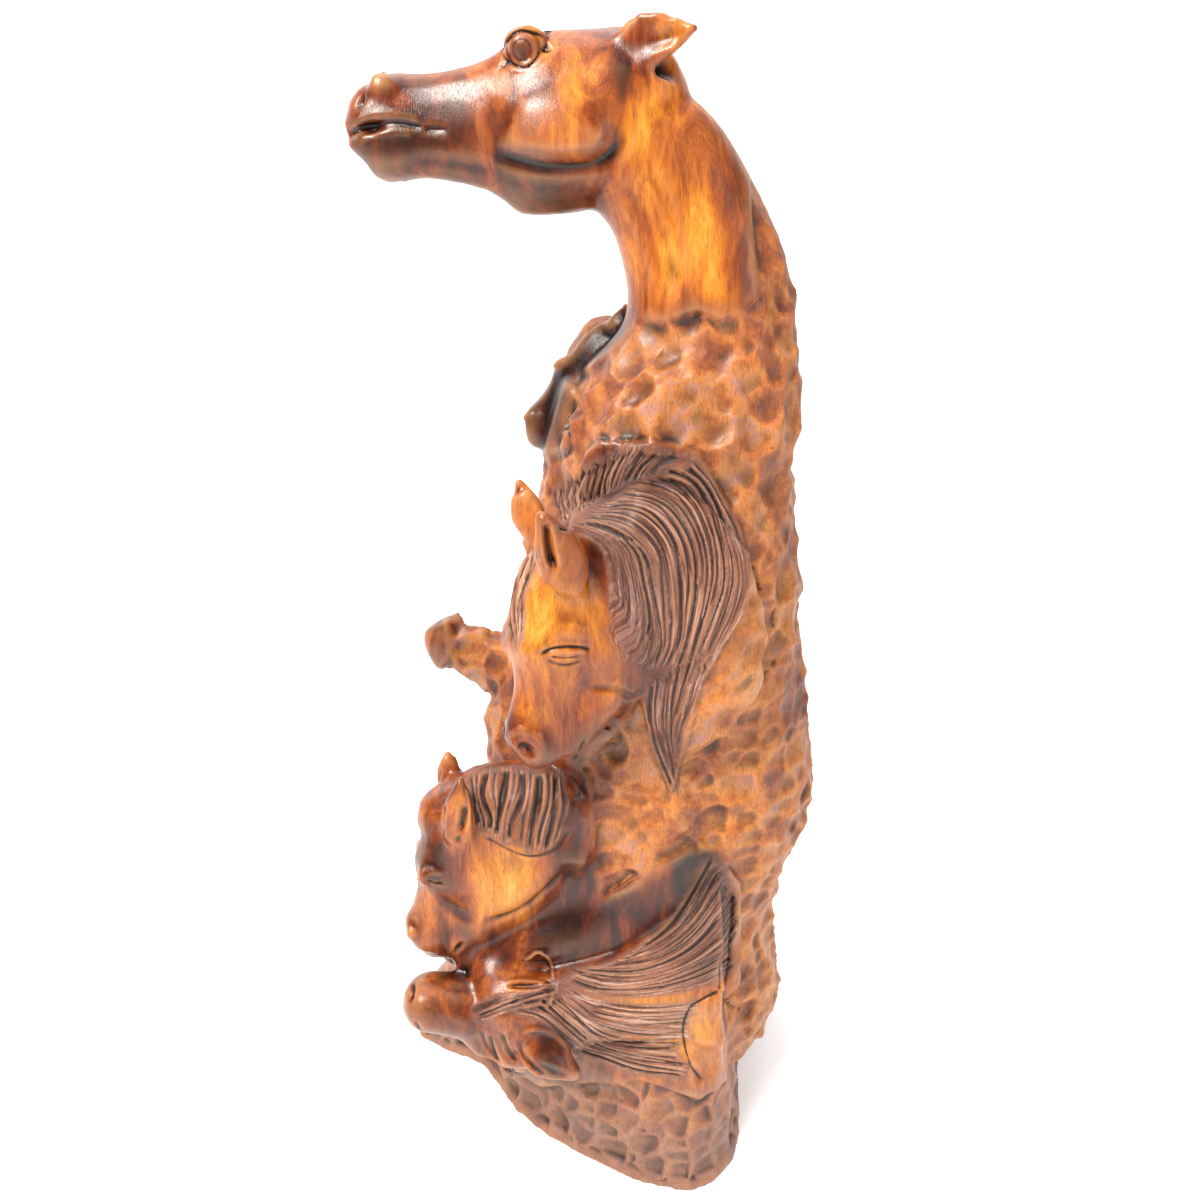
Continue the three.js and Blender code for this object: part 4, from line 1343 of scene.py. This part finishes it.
def studioFloor():
    sheet = bmesh.new()
    reach, back, curve = studio["reach"], studio["wallBack"], studio["curve"]
    profile = [(-reach, 0.0), (back - curve, 0.0)]
    for k in range(1, 13):
        turn = k / 12 * math.pi / 2
        profile.append((back - curve + curve * math.sin(turn), curve - curve * math.cos(turn)))
    profile.append((back, studio["wallTop"]))
    row = [sheet.verts.new((-reach, y, z)) for y, z in profile]
    edges = [sheet.edges.new(pair) for pair in zip(row[:-1], row[1:])]
    made = bmesh.ops.extrude_edge_only(sheet, edges=edges)["geom"]
    bmesh.ops.translate(sheet, vec=(2 * reach, 0, 0), verts=[g for g in made if isinstance(g, bmesh.types.BMVert)])
    bmesh.ops.recalc_face_normals(sheet, faces=sheet.faces)
    mesh = bpy.data.meshes.new("studio_floor")
    sheet.to_mesh(mesh)
    sheet.free()
    for face in mesh.polygons:
        face.use_smooth = True
    floor = bpy.data.objects.new("studio_floor", mesh)
    bpy.context.scene.collection.objects.link(floor)
    paint = bpy.data.materials.new("matt_white_paint")
    paint.use_nodes = True
    surface = paint.node_tree.nodes["Principled BSDF"]
    surface.inputs["Base Color"].default_value = linear(studio["floorColour"])
    surface.inputs["Roughness"].default_value = 0.9
    surface.inputs["Emission Color"].default_value = (1, 1, 1, 1)
    surface.inputs["Emission Strength"].default_value = studio["floorGlow"]
    mesh.materials.append(paint)


def studioLight():
    for name, place, size, power, colour in studio["lights"]:
        lamp = bpy.data.lights.new(name, "AREA")
        lamp.shape, lamp.size, lamp.energy = "DISK", size, power
        lamp.color = linear(colour)[:3]
        lit = bpy.data.objects.new(name, lamp)
        bpy.context.scene.collection.objects.link(lit)
        lit.location = place
        lit.rotation_euler = (Vector((0, 0, 0.5)) - Vector(place)).to_track_quat("-Z", "Y").to_euler()
    world = bpy.data.worlds.new("studio")
    world.use_nodes = True
    # white where the camera looks past the wall, softer where it lights the wood
    tree = world.node_tree
    rays = addNode(tree, "ShaderNodeLightPath").outputs
    dull = {"To Min": studio["sky"], "To Max": studio["mirrored"]}
    lit = addNode(tree, "ShaderNodeMapRange", dull, {"Value": rays["Is Glossy Ray"]})
    strength = addNode(tree, "ShaderNodeMapRange", {"To Max": 1.0}, {"Value": rays["Is Camera Ray"], "To Min": lit})
    tree.links.new(strength.outputs["Result"], tree.nodes["Background"].inputs["Strength"])
    tree.nodes["Background"].inputs["Color"].default_value = (1, 1, 1, 1)
    bpy.context.scene.world = world
    bpy.context.scene.view_settings.view_transform = "Standard"


def camera():
    lens = bpy.data.cameras.new("camera")
    lens.sensor_width = 36
    lens.lens = 36 * photoView["focal"] / (2 * photoView["middle"])
    lens.clip_start, lens.clip_end = 0.05, 50
    seat = bpy.data.objects.new("camera", lens)
    bpy.context.scene.collection.objects.link(seat)
    seat.location = photoView["eye"]
    seat.rotation_euler = (math.radians(90 - photoView["lookDown"]), 0, 0)
    bpy.context.scene.camera = seat


studioFloor()
studioLight()
camera()
print("studio: floor, light and camera")
